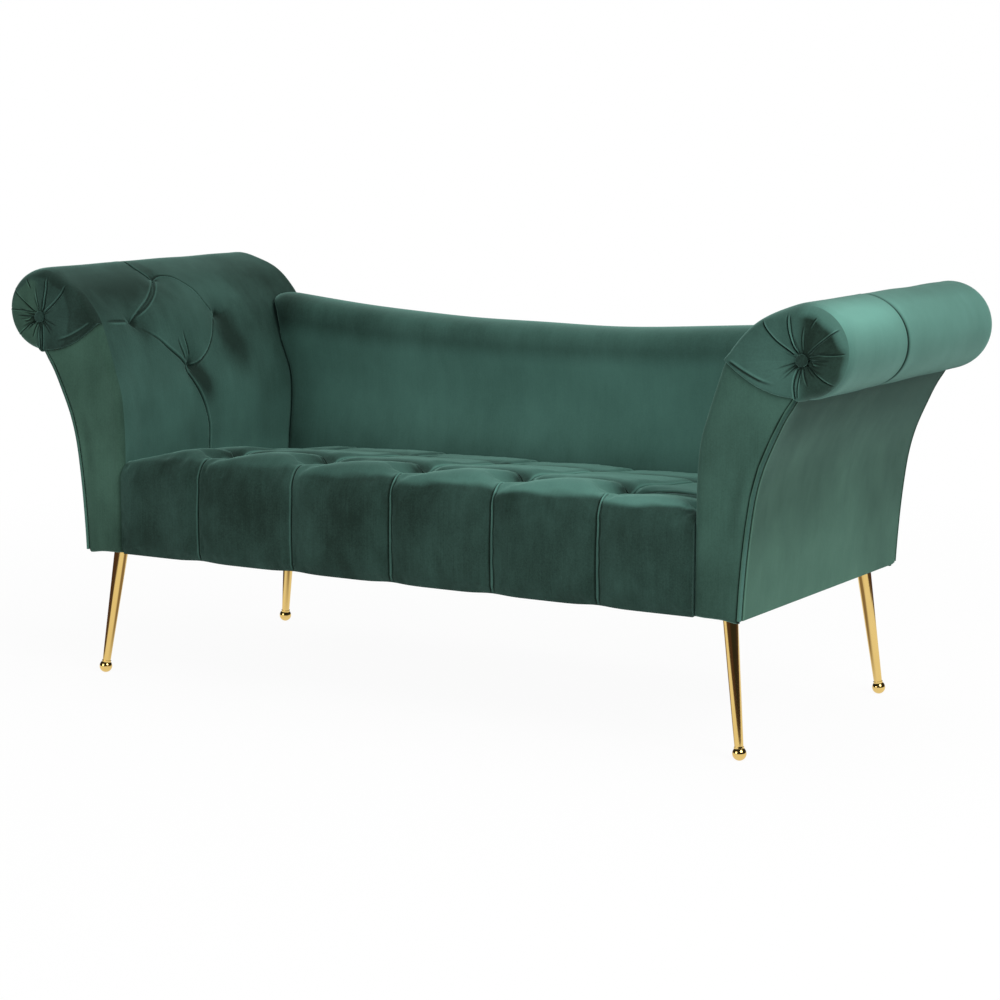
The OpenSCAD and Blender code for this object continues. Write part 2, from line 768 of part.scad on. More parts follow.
// Facings below the scroll ends, up to the pleat that runs out to the underside of the roll
pleat_row = pleat_point * curve_steps;
facing_side = [for (p = reversed(side_line)) [p.x - gap, p.y]];
pleat_steps = 5;
pleat_line = [
    for (k = [0:pleat_steps - 1]) let (s = k / pleat_steps)
        mix(facing_side[0], inner_curve[pleat_row], s) - [0, 4 * pleat_sag * s * (1 - s)]
];
facing_outline = concat(
    [[inner_x, underside]],
    [for (i = [0:pleat_row]) inner_curve[i]],
    reversed(pleat_line),
    [for (i = [1:len(facing_side) - 1]) facing_side[i]]
);
module arm_facing() {
    across(facing_outline, board_y + gap, half_depth);
}
module arm_front_facing(left) {
    color(velvet)
        arm_side(left)
            mirror([0, 1, 0])
                arm_facing();
}
module arm_back_facing(left) {
    color(velvet)
        arm_side(left)
            arm_facing();
}

// Scroll ends: velvet gathered in pleats from the outline to a covered button
scroll_centre = [roll_x, roll_z - button_drop];
scroll_dish_share = 0.66; // depth of the padding under the button
scroll_ring_shares = [
    [1, 0], [0.985, 0.5], [0.92, 0.85], [0.74, 1], [0.45, 0.92], [0.2, scroll_dish_share]
];
first_scroll_row = first_curve_row + pleat_row;
scroll_outline = concat(
    [for (i = [first_scroll_row:cover_rows - 1]) let (p = cover_path[i])
        p - unit(p - scroll_centre) * rim_drop(i)],
    [for (p = pleat_line) p + [0, 2 * gap]]
);
pleat_depth = 3;
function pleat(point, share) = let (
        ray = point - scroll_centre,
        turn = atan2(ray.y, ray.x)
    ) pleat_depth * share * (cos(turn * scroll_pleats) - 1) / 2;
scroll_points = concat(
    [for (ring = scroll_ring_shares, p = scroll_outline) let (
        q = mix(scroll_centre, p, ring[0]),
        d = scroll_depth * ring[1] + pleat(p, ring[1])
    ) [q.x, -board_y - gap - d, q.y]],
    [[scroll_centre.x, -board_y - gap - scroll_depth / 2, scroll_centre.y],
        [scroll_centre.x, -board_y - gap, scroll_centre.y]]
);
module scroll_end() {
    n = len(scroll_outline);
    last = (len(scroll_ring_shares) - 1) * n;
    centre = last + n;
    polyhedron(
        scroll_points,
        concat(
            [for (r = [0:len(scroll_ring_shares) - 2], k = [0:n - 1]) let (
                a = r * n + k,
                b = r * n + (k + 1) % n
            ) each [[a, b, a + n], [b, b + n, a + n]]],
            [for (k = [0:n - 1]) [last + k, last + (k + 1) % n, centre]],
            [for (k = [0:n - 1]) [(k + 1) % n, k, centre + 1]]
        ),
        convexity = 10
    );
}
module arm_front_scroll(left) {
    color(velvet)
        arm_side(left)
            scroll_end();
}
module arm_back_scroll(left) {
    color(velvet)
        arm_side(left)
            mirror([0, 1, 0])
                scroll_end();
}
button_edge = 3;
button_face_y = board_y + gap + scroll_dish_share * scroll_depth + gap;
button_arc = [15:15:90];
module scroll_buttons() {
    r = button_diameter / 2;
    color(velvet)
        at_corners()
            translate([scroll_centre.x, button_face_y, scroll_centre.y])
                rotate([-90, 0, 0])
                    rotate_extrude()
                        polygon(concat(
                            [[0, 0], [r, 0], [r, button_edge]],
                            [for (a = button_arc)
                                [r * cos(a), button_edge + (button_height - button_edge) * sin(a)]]
                        ));
}

// Plastic clips that hold the tufting twine under the springs' cloth and behind the arm liners
clip_r = 8;
clip_thickness = 2.5;
liner_gap = 0.8;
module tuft_clips() {
    color(black_cloth) {
        for (x = seams, y = tuft_rows)
            translate([x, y, cloth_z - clip_thickness])
                cylinder(h = clip_thickness, r = clip_r);
        for (side = [0, 1], k = [0:3]) {
            row = [top_tuft, side_tuft, side_tuft, low_tuft][k] * curve_steps;
            away = -side_of(inner_curve, row);
            from = board_line[row] + away * liner_gap;
            mirror([side, 0, 0])
                translate([from.x, arm_tufts[k].y, from.y])
                    rotate([0, atan2(away.x, away.y), 0])
                        cylinder(h = clip_thickness, r = clip_r);
        }
    }
}

// Fasteners
module arm_bolts() {
    color(steel)
        for (side = [0, 1])
            mirror([side, 0, 0])
                at_bolts() {
                    cylinder(h = bolt_length, r = bolt_diameter / 2);
                    translate([0, 0, -bolt_head[1]])
                        cylinder(h = bolt_head[1], r = bolt_head[0], $fn = 6);
                }
}
screw_head = [0.9 * screw_diameter, 0.5 * screw_diameter]; // radius and height
module leg_screws() {
    color(steel)
        at_corners()
            at_screws()
                translate([0, 0, -plate_thickness]) {
                    cylinder(h = screw_depth + plate_thickness, r = screw_diameter / 2);
                    translate([0, 0, -screw_head[1]])
                        cylinder(h = screw_head[1], r = screw_head[0]);
                }
}

// Legs: leaning tapered tubes on square plates, each with a ball foot plugged into its tip
ball_r = ball_diameter / 2;
ball_flat = 0.5; // ground off the bottom of the ball
ball_centre = [leg_x + leg_lean_x, leg_y + leg_lean_y, ball_r - ball_flat];
leg_top = [leg_x, leg_y, frame_z - plate_thickness];
leg_axis = leg_top - ball_centre;
leg_length = norm(leg_axis);
neck = [leg_tip_diameter / 2 + 1, 3]; // radius and height of the ring above the ball
tip_start = sqrt(pow(ball_r, 2) - pow(neck[0], 2)) + neck[1];
plug_length = 20;
tip_r = leg_tip_diameter / 2;
top_r = leg_top_diameter / 2;
over = 12; // tube run past the plate before it is cut level
leg_run = leg_length - tip_start;
leg_slope = (top_r - tip_r) / leg_run;
flat_run = norm([leg_axis.x, leg_axis.y]);
hollow_run = leg_run - leg_wall - top_r * flat_run / leg_length; // the bore stops under the plate
module along_leg() {
    translate(ball_centre)
        rotate([0, atan2(flat_run, leg_axis.z), atan2(leg_axis.y, leg_axis.x)])
            children();
}
module leg_tube(inset, from, to) {
    along_leg()
        translate([0, 0, tip_start + from])
            cylinder(
                h = to - from,
                r1 = tip_r - inset + leg_slope * from,
                r2 = tip_r - inset + leg_slope * to
            );
}
module leg() {
    difference() {
        union() {
            leg_tube(0, 0, leg_run + over);
            box([plate_low.x, plate_low.y, leg_top.z], [plate_high.x, plate_high.y, frame_z]);
        }
        leg_tube(leg_wall, -cut, hollow_run);
        box([leg_x - plate_size, leg_y - plate_size, frame_z],
            [leg_x + plate_size, leg_y + plate_size, frame_z + 2 * over]);
        at_screws()
            translate([0, 0, -plate_thickness - cut])
                cylinder(h = plate_thickness + 2 * cut, r = screw_diameter / 2 + gap);
    }
}
module foot() {
    difference() {
        union() {
            translate(ball_centre)
                sphere(r = ball_r);
            along_leg() {
                cylinder(h = tip_start, r = neck[0]);
                cylinder(h = tip_start + plug_length, r = tip_r - leg_wall - gap);
            }
        }
        translate([ball_centre.x, ball_centre.y, -ball_r])
            cylinder(h = ball_r, r = ball_r);
    }
}
module placed_corner(left, front) {
    color(gold)
        mirror([left ? 1 : 0, 0, 0])
            mirror([0, front ? 1 : 0, 0])
                children();
}

seat_front_rail();
seat_back_rail();
seat_side_rail(true);  // seat_left_rail
seat_side_rail(false);  // seat_right_rail
seat_middle_rail();
seat_corner_blocks();
seat_springs();
spring_clips();
spring_cloth();
seat_foam();
seat_cover();
dust_cover();
back_left_post();
back_right_post();
back_middle_posts();
back_top_rail();
back_webbing();
back_foam();
back_cover();
back_outer_cover();
arm_front_board(true);  // left_arm_front_board
arm_back_board(true);  // left_arm_back_board
arm_bottom_rail(true);  // left_arm_bottom_rail
arm_battens(true);  // left_arm_battens
arm_roll_core(true);  // left_arm_roll_core
arm_liner(true);  // left_arm_liner
arm_cover(true);  // left_arm_cover
arm_side_board(true);  // left_arm_side_board
arm_outer_cover(true);  // left_arm_outer_cover
arm_front_facing(true);  // left_arm_front_facing
arm_back_facing(true);  // left_arm_back_facing
arm_front_scroll(true);  // left_arm_front_scroll
arm_back_scroll(true);  // left_arm_back_scroll
arm_front_board(false);  // right_arm_front_board
arm_back_board(false);  // right_arm_back_board
arm_bottom_rail(false);  // right_arm_bottom_rail
arm_battens(false);  // right_arm_battens
arm_roll_core(false);  // right_arm_roll_core
arm_liner(false);  // right_arm_liner
arm_cover(false);  // right_arm_cover
arm_side_board(false);  // right_arm_side_board
arm_outer_cover(false);  // right_arm_outer_cover
arm_front_facing(false);  // right_arm_front_facing
arm_back_facing(false);  // right_arm_back_facing
arm_front_scroll(false);  // right_arm_front_scroll
arm_back_scroll(false);  // right_arm_back_scroll
scroll_buttons();
tuft_clips();
arm_bolts();
leg_screws();
placed_corner(true, true) leg();  // front_left_leg
placed_corner(false, true) leg();  // front_right_leg
placed_corner(true, false) leg();  // back_left_leg
placed_corner(false, false) leg();  // back_right_leg
placed_corner(true, true) foot();  // front_left_foot
placed_corner(false, true) foot();  // front_right_foot
placed_corner(true, false) foot();  // back_left_foot
placed_corner(false, false) foot();  // back_right_foot
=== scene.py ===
import json
import math
import bmesh
import bpy
import numpy as np
from mathutils import Matrix, Vector


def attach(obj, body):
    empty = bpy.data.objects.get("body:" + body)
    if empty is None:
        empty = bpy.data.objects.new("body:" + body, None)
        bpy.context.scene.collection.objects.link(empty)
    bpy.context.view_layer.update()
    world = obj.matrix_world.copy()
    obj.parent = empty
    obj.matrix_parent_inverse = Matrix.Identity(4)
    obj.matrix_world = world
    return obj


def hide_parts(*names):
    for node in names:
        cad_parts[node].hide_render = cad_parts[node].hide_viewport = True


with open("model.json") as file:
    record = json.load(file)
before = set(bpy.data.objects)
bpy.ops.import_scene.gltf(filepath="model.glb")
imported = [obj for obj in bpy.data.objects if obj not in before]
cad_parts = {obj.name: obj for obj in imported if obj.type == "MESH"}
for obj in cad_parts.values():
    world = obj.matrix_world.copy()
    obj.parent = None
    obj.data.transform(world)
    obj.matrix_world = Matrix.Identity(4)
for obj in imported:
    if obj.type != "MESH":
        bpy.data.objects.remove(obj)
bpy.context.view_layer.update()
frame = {"nodes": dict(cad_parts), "record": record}
print("frame loaded,", len(frame["nodes"]), "nodes")

# camera first, at the photograph's viewing angle

cameraView = {
    "azimuth": 30.459, "pitch": 8.566, "roll": 0.211,        # degrees
    "place": (2.4315, -4.0881, 1.0467),
    "lens": 97.65, "sensor": 36.0, "farthest": 100.0,
}


def linked(name, data):
    item = bpy.data.objects.new(name, data)
    bpy.context.scene.collection.objects.link(item)
    return item


def makeCamera(look=cameraView):
    a, p, r = (math.radians(look[k]) for k in ("azimuth", "pitch", "roll"))
    ahead = Vector((-math.sin(a) * math.cos(p), math.cos(a) * math.cos(p), -math.sin(p)))
    right = Vector((math.cos(a), math.sin(a), 0))
    up = right.cross(ahead)
    side = right * math.cos(r) + up * math.sin(r)
    top = up * math.cos(r) - right * math.sin(r)
    data = bpy.data.cameras.new("photoCamera")
    data.lens, data.sensor_width, data.sensor_fit = look["lens"], look["sensor"], "HORIZONTAL"
    data.clip_end = look["farthest"]
    camera = linked("photoCamera", data)
    turn = Matrix((side, top, -ahead)).transposed().to_4x4()
    camera.matrix_world = Matrix.Translation(look["place"]) @ turn
    bpy.context.scene.camera = camera


makeCamera()
print("camera set")

# tools for curves and skins, all in metres


def hollow(distance, width):
    return np.exp(-(distance / width) ** 2)


def smooth(t):
    t = np.clip(t, 0.0, 1.0)
    return t * t * (3 - 2 * t)


def unit(v):
    return v / np.maximum(np.linalg.norm(v, axis=-1, keepdims=True), 1e-12)


def lengthAlong(line):
    return np.concatenate([[0.0], np.cumsum(np.linalg.norm(np.diff(line, axis=0), axis=1))])


# a smooth curve from b to c, with a and d beside them
def between(a, b, c, d, t):
    return (b + (c - a) * t / 2 + (a - 2.5 * b + 2 * c - d / 2) * t ** 2
            + (1.5 * b - a / 2 - 1.5 * c + d / 2) * t ** 3)


def curveThrough(points, steps, before=None, after=None):
    p = np.array(points, float)
    first = 2 * p[0] - p[1] if before is None else np.array(before, float)
    last = 2 * p[-1] - p[-2] if after is None else np.array(after, float)
    q = np.vstack([first, p, last])
    t = (np.arange(steps) / steps)[:, None]
    out = [between(a, b, c, d, t) for a, b, c, d in zip(q[:-3], q[1:-2], q[2:-1], q[3:])]
    return np.vstack(out + [p[-1:]])


def onLine(line, s):
    along = lengthAlong(line)
    return np.stack([np.interp(s, along, line[:, k]) for k in range(line.shape[1])], -1)


# the sideways direction, to the left of the way that the line runs
def leftOf(line, s, reach=0.004):
    end = lengthAlong(line)[-1]
    t = unit(onLine(line, np.minimum(s + reach, end)) - onLine(line, np.maximum(s - reach, 0)))
    return np.stack([-t[:, 1], t[:, 0]], -1)


# places from stop to stop; each stop is (end, spacing), and the first one (start, 0)
def spread(stops):
    out = [np.array([stops[0][0]])]
    for (a, _), (b, gap) in zip(stops[:-1], stops[1:]):
        n = max(int(round((b - a) / gap)), 1)
        out.append(a + (b - a) * np.arange(1, n + 1) / n)
    return np.concatenate(out)


# places between the edges, closer together near each edge
def packed(edges, count, tightness):
    out = [np.array([edges[0]])]
    for a, b in zip(edges[:-1], edges[1:]):
        t = np.arange(1, count + 1) / count
        t = t - tightness * np.sin(2 * np.pi * t) / (2 * np.pi)
        out.append(a + (b - a) * t)
    return np.concatenate(out)


# a grid's values at new places along one axis, on smooth curves through the old ones
def resampled(grid, old, new, axis):
    g = np.moveaxis(grid, axis, 0)
    f = np.interp(new, old, np.arange(len(old)))
    i = np.clip(f.astype(int), 0, len(old) - 2)
    t = (f - i).reshape((-1,) + (1,) * (g.ndim - 1))
    a, b, c, d = (g[np.clip(i + k, 0, len(old) - 1)] for k in (-1, 0, 1, 2))
    return np.moveaxis(between(a, b, c, d, t), 0, axis)


# distance from each point to a line, the side it is on, and how far along it is
def toLine(a, b, line):
    shape = a.shape
    p = np.stack([a.ravel(), b.ravel()], -1)
    along = lengthAlong(line)
    best = np.full(len(p), 1e9)
    side, place = np.zeros(len(p)), np.zeros(len(p))
    for k in range(len(line) - 1):
        v = line[k + 1] - line[k]
        w = p - line[k]
        t = np.clip(w @ v / max(v @ v, 1e-12), 0, 1)
        d = np.linalg.norm(w - t[:, None] * v, axis=1)
        near = d < best
        best[near] = d[near]
        side[near] = np.sign(v[0] * w[near, 1] - v[1] * w[near, 0])
        place[near] = along[k] + t[near] * (along[k + 1] - along[k])
    return best.reshape(shape), side.reshape(shape), (place / along[-1]).reshape(shape)


# a crease in shares of its width: where its lip stands, how wide that is, and how far the crease reaches;
# and how strongly the painted highlight on the lip and the painted shade in the groove show
creaseForm = {
    "lipAt": 1.6, "lipWidth": 0.8, "reach": 5.0, "lipHighlight": 0.8, "grooveShade": 1.5, "grooveShadeWidth": 0.8,
    "steps": 6,      # points of the smooth curve between two given ones
}


# a stitched or folded line: the groove and its raised lip, with a painted highlight on the lip and painted
# shade in the groove
def crease(a, b, points, depth=0.004, width=0.003, lip=0.0015, lipSide=1, fade=(0.0, 0.0), curved=True):
    line = np.array(points, float)
    if curved and len(line) > 2:
        line = curveThrough(line, creaseForm["steps"])
    reach = creaseForm["reach"] * width
    swell, shading = np.zeros(a.shape), np.zeros(a.shape)
    near = (a > line[:, 0].min() - reach) & (a < line[:, 0].max() + reach) \
        & (b > line[:, 1].min() - reach) & (b < line[:, 1].max() + reach)
    if near.any():
        d, side, t = toLine(a[near], b[near], line)
        strength = np.ones(t.shape)
        if fade[0] > 0:
            strength *= smooth(t / fade[0])
        if fade[1] > 0:
            strength *= smooth((1 - t) / fade[1])
        ridge = hollow(d * side * lipSide - creaseForm["lipAt"] * width, creaseForm["lipWidth"] * width)
        groove = hollow(d, creaseForm["grooveShadeWidth"] * width)
        swell[near] = strength * (lip * ridge - depth * hollow(d, width))
        shading[near] = strength * (creaseForm["lipHighlight"] * ridge - creaseForm["grooveShade"] * groove)
    return swell, shading


# short wrinkles that run out from a tuft
def pucker(a, b, centre, reach, count, depth, seed):
    rng = np.random.default_rng(seed)
    da, db = a - centre[0], b - centre[1]
    r, turn = np.hypot(da, db), np.arctan2(db, da)
    out = np.zeros(a.shape)
    for _ in range(count):
        at, wide, far = rng.uniform(-np.pi, np.pi), rng.uniform(0.06, 0.12), rng.uniform(0.6, 1.0) * reach
        off = np.angle(np.exp(1j * (turn - at)))
        out -= hollow(off * r, wide * 0.03) * smooth((far - r) / (0.6 * far)) * rng.uniform(0.5, 1.0)
    return depth * out * smooth(r / (0.2 * reach)) * hollow(r, 1.1 * reach)


# slow unevenness of hand-pulled cloth, between -1 and 1
def drift(a, b, size, seed):
    rng = np.random.default_rng(seed)
    out = np.zeros(a.shape)
    for _ in range(7):
        turn, wave, phase = rng.uniform(0, np.pi), rng.uniform(0.7, 1.8) * size, rng.uniform(0, 2 * np.pi)
        out += np.sin(2 * np.pi * (a * np.cos(turn) + b * np.sin(turn)) / wave + phase)
    return out / 4


# values at places along a line, from stops of place and value
def valueAt(s, stops):
    return np.interp(s, *zip(*stops))


# points above a line in x and z, lifted along its directions n, at each y
def lifted(line, n, lift, y):
    return np.stack([line[:, :1] + n[:, :1] * lift, y, line[:, 1:] + n[:, 1:] * lift], -1)


# quads of a grid whose points are numbered row by row
def gridFaces(rows, cols):
    i, j = np.meshgrid(np.arange(rows - 1), np.arange(cols - 1), indexing="ij")
    o = (i * cols + j).ravel()
    return np.stack([o, o + 1, o + cols + 1, o + cols], -1).tolist()


# quads between rings of points, each ring closed on itself
def ringFaces(rows, cols):
    return [(i * cols + j, i * cols + (j + 1) % cols, (i + 1) * cols + (j + 1) % cols, (i + 1) * cols + j)
            for i in range(rows - 1) for j in range(cols)]


def reversedFaces(faces):
    return [tuple(reversed(f)) for f in faces]


# faces that close an outer grid over a sparse hidden one; columns run to the right when rows run up
def closedSkin(outer, back, step):
    rows, cols = outer.shape[:2]
    keepRows = sorted(set(range(0, rows - 1, step)) | {rows - 1})
    keepCols = sorted(set(range(0, cols - 1, step)) | {cols - 1})
    base = rows * cols
    places = [(i, j) for i in keepRows for j in keepCols]
    number = {place: base + k for k, place in enumerate(places)}
    faces = gridFaces(rows, cols)
    for a, b in zip(keepRows[:-1], keepRows[1:]):
        for c, d in zip(keepCols[:-1], keepCols[1:]):
            faces.append((number[a, c], number[b, c], number[b, d], number[a, d]))
    borders = [
        ([(0, q) for q in range(cols)], keepCols),
        ([(q, cols - 1) for q in range(rows)], keepRows),
        ([(rows - 1, q) for q in range(cols - 1, -1, -1)], [cols - 1 - q for q in reversed(keepCols)]),
        ([(q, 0) for q in range(rows - 1, -1, -1)], [rows - 1 - q for q in reversed(keepRows)]),
    ]
    for line, kept in borders:
        for a, b in zip(kept[:-1], kept[1:]):
            ha, hb, middle = number[line[a]], number[line[b]], (a + b) // 2
            where = [r * cols + c for r, c in line[a:b + 1]]
            for q in range(b - a):
                if q == middle - a:
                    faces.append((where[q], ha, hb))
                faces.append((where[q + 1], where[q], ha if q < middle - a else hb))
    hidden = back[np.ix_(keepRows, keepCols)].reshape(-1, 3)
    return np.vstack([outer.reshape(-1, 3), hidden]), faces


# outward directions of a grid whose columns run right when its rows run up
def sideways(grid):
    down, across = np.gradient(grid, axis=0), np.gradient(grid, axis=1)
    return unit(np.cross(across, down))


sharpAngle = math.radians(58)


# a finished mesh at the origin; mirror gives its twin on the other side of the couch
def newPiece(name, points, faces, material, layers=None, uv=None, mirror=False, rest=None):
    points = np.array(points, float)
    if mirror:
        points = points * np.array([-1.0, 1.0, 1.0])
        faces = reversedFaces(faces)
    mesh = bpy.data.meshes.new(name)
    mesh.from_pydata(points.tolist(), [], faces)
    mesh.polygons.foreach_set("use_smooth", [True] * len(mesh.polygons))
    for key, values in (layers or {}).items():
        full = np.full(len(points), values.mean() if rest is None or key != "napAndShade" else rest, np.float32)
        full[:values.size] = values.ravel()
        mesh.attributes.new(key, "FLOAT", "POINT").data.foreach_set("value", full)
    if uv is not None:
        full = np.zeros((len(points), 2))
        full[:uv.size // 2] = uv.reshape(-1, 2)
        corner = np.zeros(len(mesh.loops), int)
        mesh.loops.foreach_get("vertex_index", corner)
        mesh.uv_layers.new(name="cut").data.foreach_set("uv", full[corner].ravel())
    mesh.materials.append(material)
    mesh.set_sharp_from_angle(angle=sharpAngle)
    mesh.update()
    return linked(name, mesh)


bothArms = (("right", False), ("left", True))      # an arm, and whether it is the mirrored one


def turnedBack(points, faces):
    return points * np.array([1.0, -1.0, 1.0]), reversedFaces(faces)


# several (points, faces) as one
def together(parts):
    points, faces, base = [], [], 0
    for p, f in parts:
        points.append(np.array(p, float))
        faces += [tuple(base + q for q in face) for face in f]
        base += len(p)
    return np.vstack(points), faces


clothFeel = {"quality": 6, "mass": 0.2, "stretch": 20, "shear": 8, "bend": 0.6, "air": 2.0, "frames": 20}


# blows the held sheet out with Blender's cloth, and gives how far each point moved
def clothPuff(name, grid, held, press, slack, cap, feel=clothFeel):
    rows, cols = grid.shape[:2]
    mesh = bpy.data.meshes.new(name)
    mesh.from_pydata(grid.reshape(-1, 3).tolist(), [], gridFaces(rows, cols))
    sheet = linked(name, mesh)
    group = sheet.vertex_groups.new(name="held")
    flat = held.ravel()
    for weight in np.unique(flat[flat > 0]):
        group.add(np.flatnonzero(flat == weight).tolist(), float(weight), "REPLACE")
    cloth = sheet.modifiers.new("puff", "CLOTH")
    settings = cloth.settings
    settings.quality, settings.mass, settings.air_damping = feel["quality"], feel["mass"], feel["air"]
    settings.tension_stiffness = settings.compression_stiffness = feel["stretch"]
    settings.shear_stiffness, settings.bending_stiffness = feel["shear"], feel["bend"]
    settings.use_pressure, settings.uniform_pressure_force = True, press
    settings.effector_weights.gravity = 0
    settings.shrink_min = -slack
    settings.vertex_group_mass = "held"
    cloth.collision_settings.use_collision = False
    cloth.point_cache.frame_start, cloth.point_cache.frame_end = 1, feel["frames"]
    scene = bpy.context.scene
    for f in range(1, feel["frames"] + 1):
        scene.frame_set(f)
    after = sheet.evaluated_get(bpy.context.evaluated_depsgraph_get()).to_mesh()
    co = np.zeros(len(after.vertices) * 3)
    after.vertices.foreach_get("co", co)
    moved = co.reshape(grid.shape) - grid
    bpy.data.objects.remove(sheet)
    bpy.data.meshes.remove(mesh)
    scene.frame_set(1)
    far = np.linalg.norm(moved, axis=-1, keepdims=True)
    moved *= cap * np.tanh(far / cap) / np.maximum(far, 1e-9)
    print("cloth", name, "moved", round(float(far.max()) * 1000, 1), "mm at most, capped near", cap * 1000)
    return moved


# finishes


def nodeGroup(name, inputs, outputs):
    group = bpy.data.node_groups.new(name, "ShaderNodeTree")
    for label, kind, value in inputs:
        socket = group.interface.new_socket(label, in_out="INPUT", socket_type=kind)
        socket.default_value = value
    for label, kind in outputs:
        group.interface.new_socket(label, in_out="OUTPUT", socket_type=kind)
    return group, group.nodes.new("NodeGroupInput"), group.nodes.new("NodeGroupOutput")


# adds a node, sets it up and joins its inputs: a value, or another node's socket
def plug(tree, kind, settings=None, **values):
    node = tree.nodes.new(kind)
    for key, value in (settings or {}).items():
        setattr(node, key, value)
    for key, value in values.items():
        numbered = key[0] == "i" and key[1:].isdigit()
        target = node.inputs[int(key[1:]) if numbered else key.replace("_", " ")]
        if isinstance(value, bpy.types.NodeSocket):
            tree.links.new(value, target)
        else:
            target.default_value = value
    return node


def maths(tree, operation, a, b=0.0, clamp=False):
    return plug(tree, "ShaderNodeMath", {"operation": operation, "use_clamp": clamp}, i0=a, i1=b).outputs[0]


# a * b + c, where c is a plain value
def scaled(tree, a, b, c):
    out = maths(tree, "MULTIPLY_ADD", a, b)
    out.node.inputs[2].default_value = c
    return out


def mixed(tree, share, first, second, blend="MIX"):
    settings = {"data_type": "RGBA", "blend_type": blend}
    return plug(tree, "ShaderNodeMix", settings, i0=share, i6=first, i7=second).outputs[2]


def noise(tree, where, scale, detail=2.0, rough=0.5, stretch=(1, 1, 1)):
    vector = plug(tree, "ShaderNodeMapping", None, Vector=where, Scale=stretch).outputs[0]
    node = plug(tree, "ShaderNodeTexNoise", None, Vector=vector, Scale=scale, Detail=detail, Roughness=rough)
    return node.outputs["Fac"]


# velvet's unevenness as noises: scale, detail and roughness, with the stretch of those that have one
velvetNoises = {
    "broad": (7.0, 2.0, 0.5), "brushed": (26.0, 3.0, 0.6, (1.0, 1.0, 0.45)),
    "streak": (1.0, 2.0, 0.6, (420, 9, 1)), "grain": (1500.0, 1.0, 0.5), "fleck": (330.0, 2.0, 0.6),
}
# how much each counts in the tone, the roughness and the relief
velvetShares = {
    "napAndShade": 0.73, "brushed": 0.7, "grain": 0.10, "fleck": 0.10, "rough": 0.82, "roughSpread": -0.25,
    "grainRelief": 0.5, "streakRelief": 0.6, "relief": 0.35, "reliefDepth": 0.0006,
}


def attribute(tree, name):
    return plug(tree, "ShaderNodeAttribute", {"attribute_name": name}).outputs["Fac"]


finishOutputs = [
    ("Color", "NodeSocketColor"), ("Roughness", "NodeSocketFloat"), ("Normal", "NodeSocketVector"),
]


def endGroup(group, gout, color, rough, bump):
    for label, socket in (("Color", color), ("Roughness", rough), ("Normal", bump.outputs[0])):
        group.links.new(socket, gout.inputs[label])
    return group


def makeNapAndShadeGroup(share=velvetShares):
    group, gin, gout = nodeGroup("velvetNapAndShade", [
        ("deep", "NodeSocketColor", (0.01, 0.03, 0.025, 1)), ("lit", "NodeSocketColor", (0.1, 0.25, 0.2, 1)),
        ("patches", "NodeSocketFloat", 0.2), ("streaks", "NodeSocketFloat", 0.1),
        ("creases", "NodeSocketFloat", 0.3), ("warmTint", "NodeSocketColor", (1, 1, 1, 1)),
    ], finishOutputs)
    place = plug(group, "ShaderNodeTexCoord").outputs["Object"]
    cut = plug(group, "ShaderNodeUVMap", {"uv_map": "cut"}).outputs[0]
    found = {key: noise(group, cut if key == "streak" else place, *values)
             for key, values in velvetNoises.items()}
    even = {key: maths(group, "SUBTRACT", value, 0.5) for key, value in found.items()}
    patch = maths(group, "ADD", even["broad"], maths(group, "MULTIPLY", even["brushed"], share["brushed"]))
    # tone from the painted light and shade kept on each piece, with random patches, streaks and grain, then
    # the painted highlight and shade of its creases
    tone = maths(group, "MULTIPLY", attribute(group, "napAndShade"), share["napAndShade"])
    for value, weight in ((patch, gin.outputs["patches"]), (even["streak"], gin.outputs["streaks"]),
                          (even["grain"], share["grain"])):
        tone = maths(group, "ADD", tone, maths(group, "MULTIPLY", value, weight))
    for value, weight in ((attribute(group, "fold"), gin.outputs["creases"]),
                          (even["fleck"], share["fleck"])):
        tone = maths(group, "ADD", tone, maths(group, "MULTIPLY", value, weight), clamp=True)
    cool = mixed(group, tone, gin.outputs["deep"], gin.outputs["lit"])
    warmed = mixed(group, 1.0, cool, gin.outputs["warmTint"], "MULTIPLY")
    color = mixed(group, attribute(group, "warm"), cool, warmed)
    rough = scaled(group, patch, share["roughSpread"], share["rough"])
    height = maths(group, "ADD", maths(group, "MULTIPLY", found["grain"], share["grainRelief"]),
                   maths(group, "MULTIPLY", found["streak"], share["streakRelief"]))
    bump = plug(group, "ShaderNodeBump", None, Strength=share["relief"], Distance=share["reliefDepth"],
                Height=height)
    return endGroup(group, gout, color, rough, bump)


# a material whose colour, roughness and normal come from a node group
def newMaterial(name, group, values):
    material = bpy.data.materials.new(name)
    material.use_nodes = True
    tree = material.node_tree
    shader = tree.nodes["Principled BSDF"]
    used = plug(tree, "ShaderNodeGroup", {"node_tree": group}, **values)
    for label, target in (("Color", "Base Color"), ("Roughness", "Roughness"), ("Normal", "Normal")):
        tree.links.new(used.outputs[label], shader.inputs[target])
    return material, shader


velvetLook = {
    "deep": (0.0050, 0.0170, 0.0115, 1), "lit": (0.1250, 0.3100, 0.2560, 1),
    "patches": 0.22, "streaks": 0.06, "creases": 0.26, "warmTint": (1.04, 0.97, 0.80, 1),
    "sheen": 0.55, "sheenRoughness": 0.42, "sheenTint": (0.32, 0.62, 0.53, 1), "specular": 0.18,
}


def makeVelvet(look):
    inputs = ("deep", "lit", "patches", "streaks", "creases", "warmTint")
    material, shader = newMaterial("greenVelvet", makeNapAndShadeGroup(), {key: look[key] for key in inputs})
    shader.inputs["Sheen Weight"].default_value = look["sheen"]
    shader.inputs["Sheen Roughness"].default_value = look["sheenRoughness"]
    shader.inputs["Sheen Tint"].default_value = look["sheenTint"]
    shader.inputs["Specular IOR Level"].default_value = look["specular"]
    return material


velvet = makeVelvet(velvetLook)


wearShares = {"finer": 9.0, "fine": 0.35, "reliefDepth": 0.001}


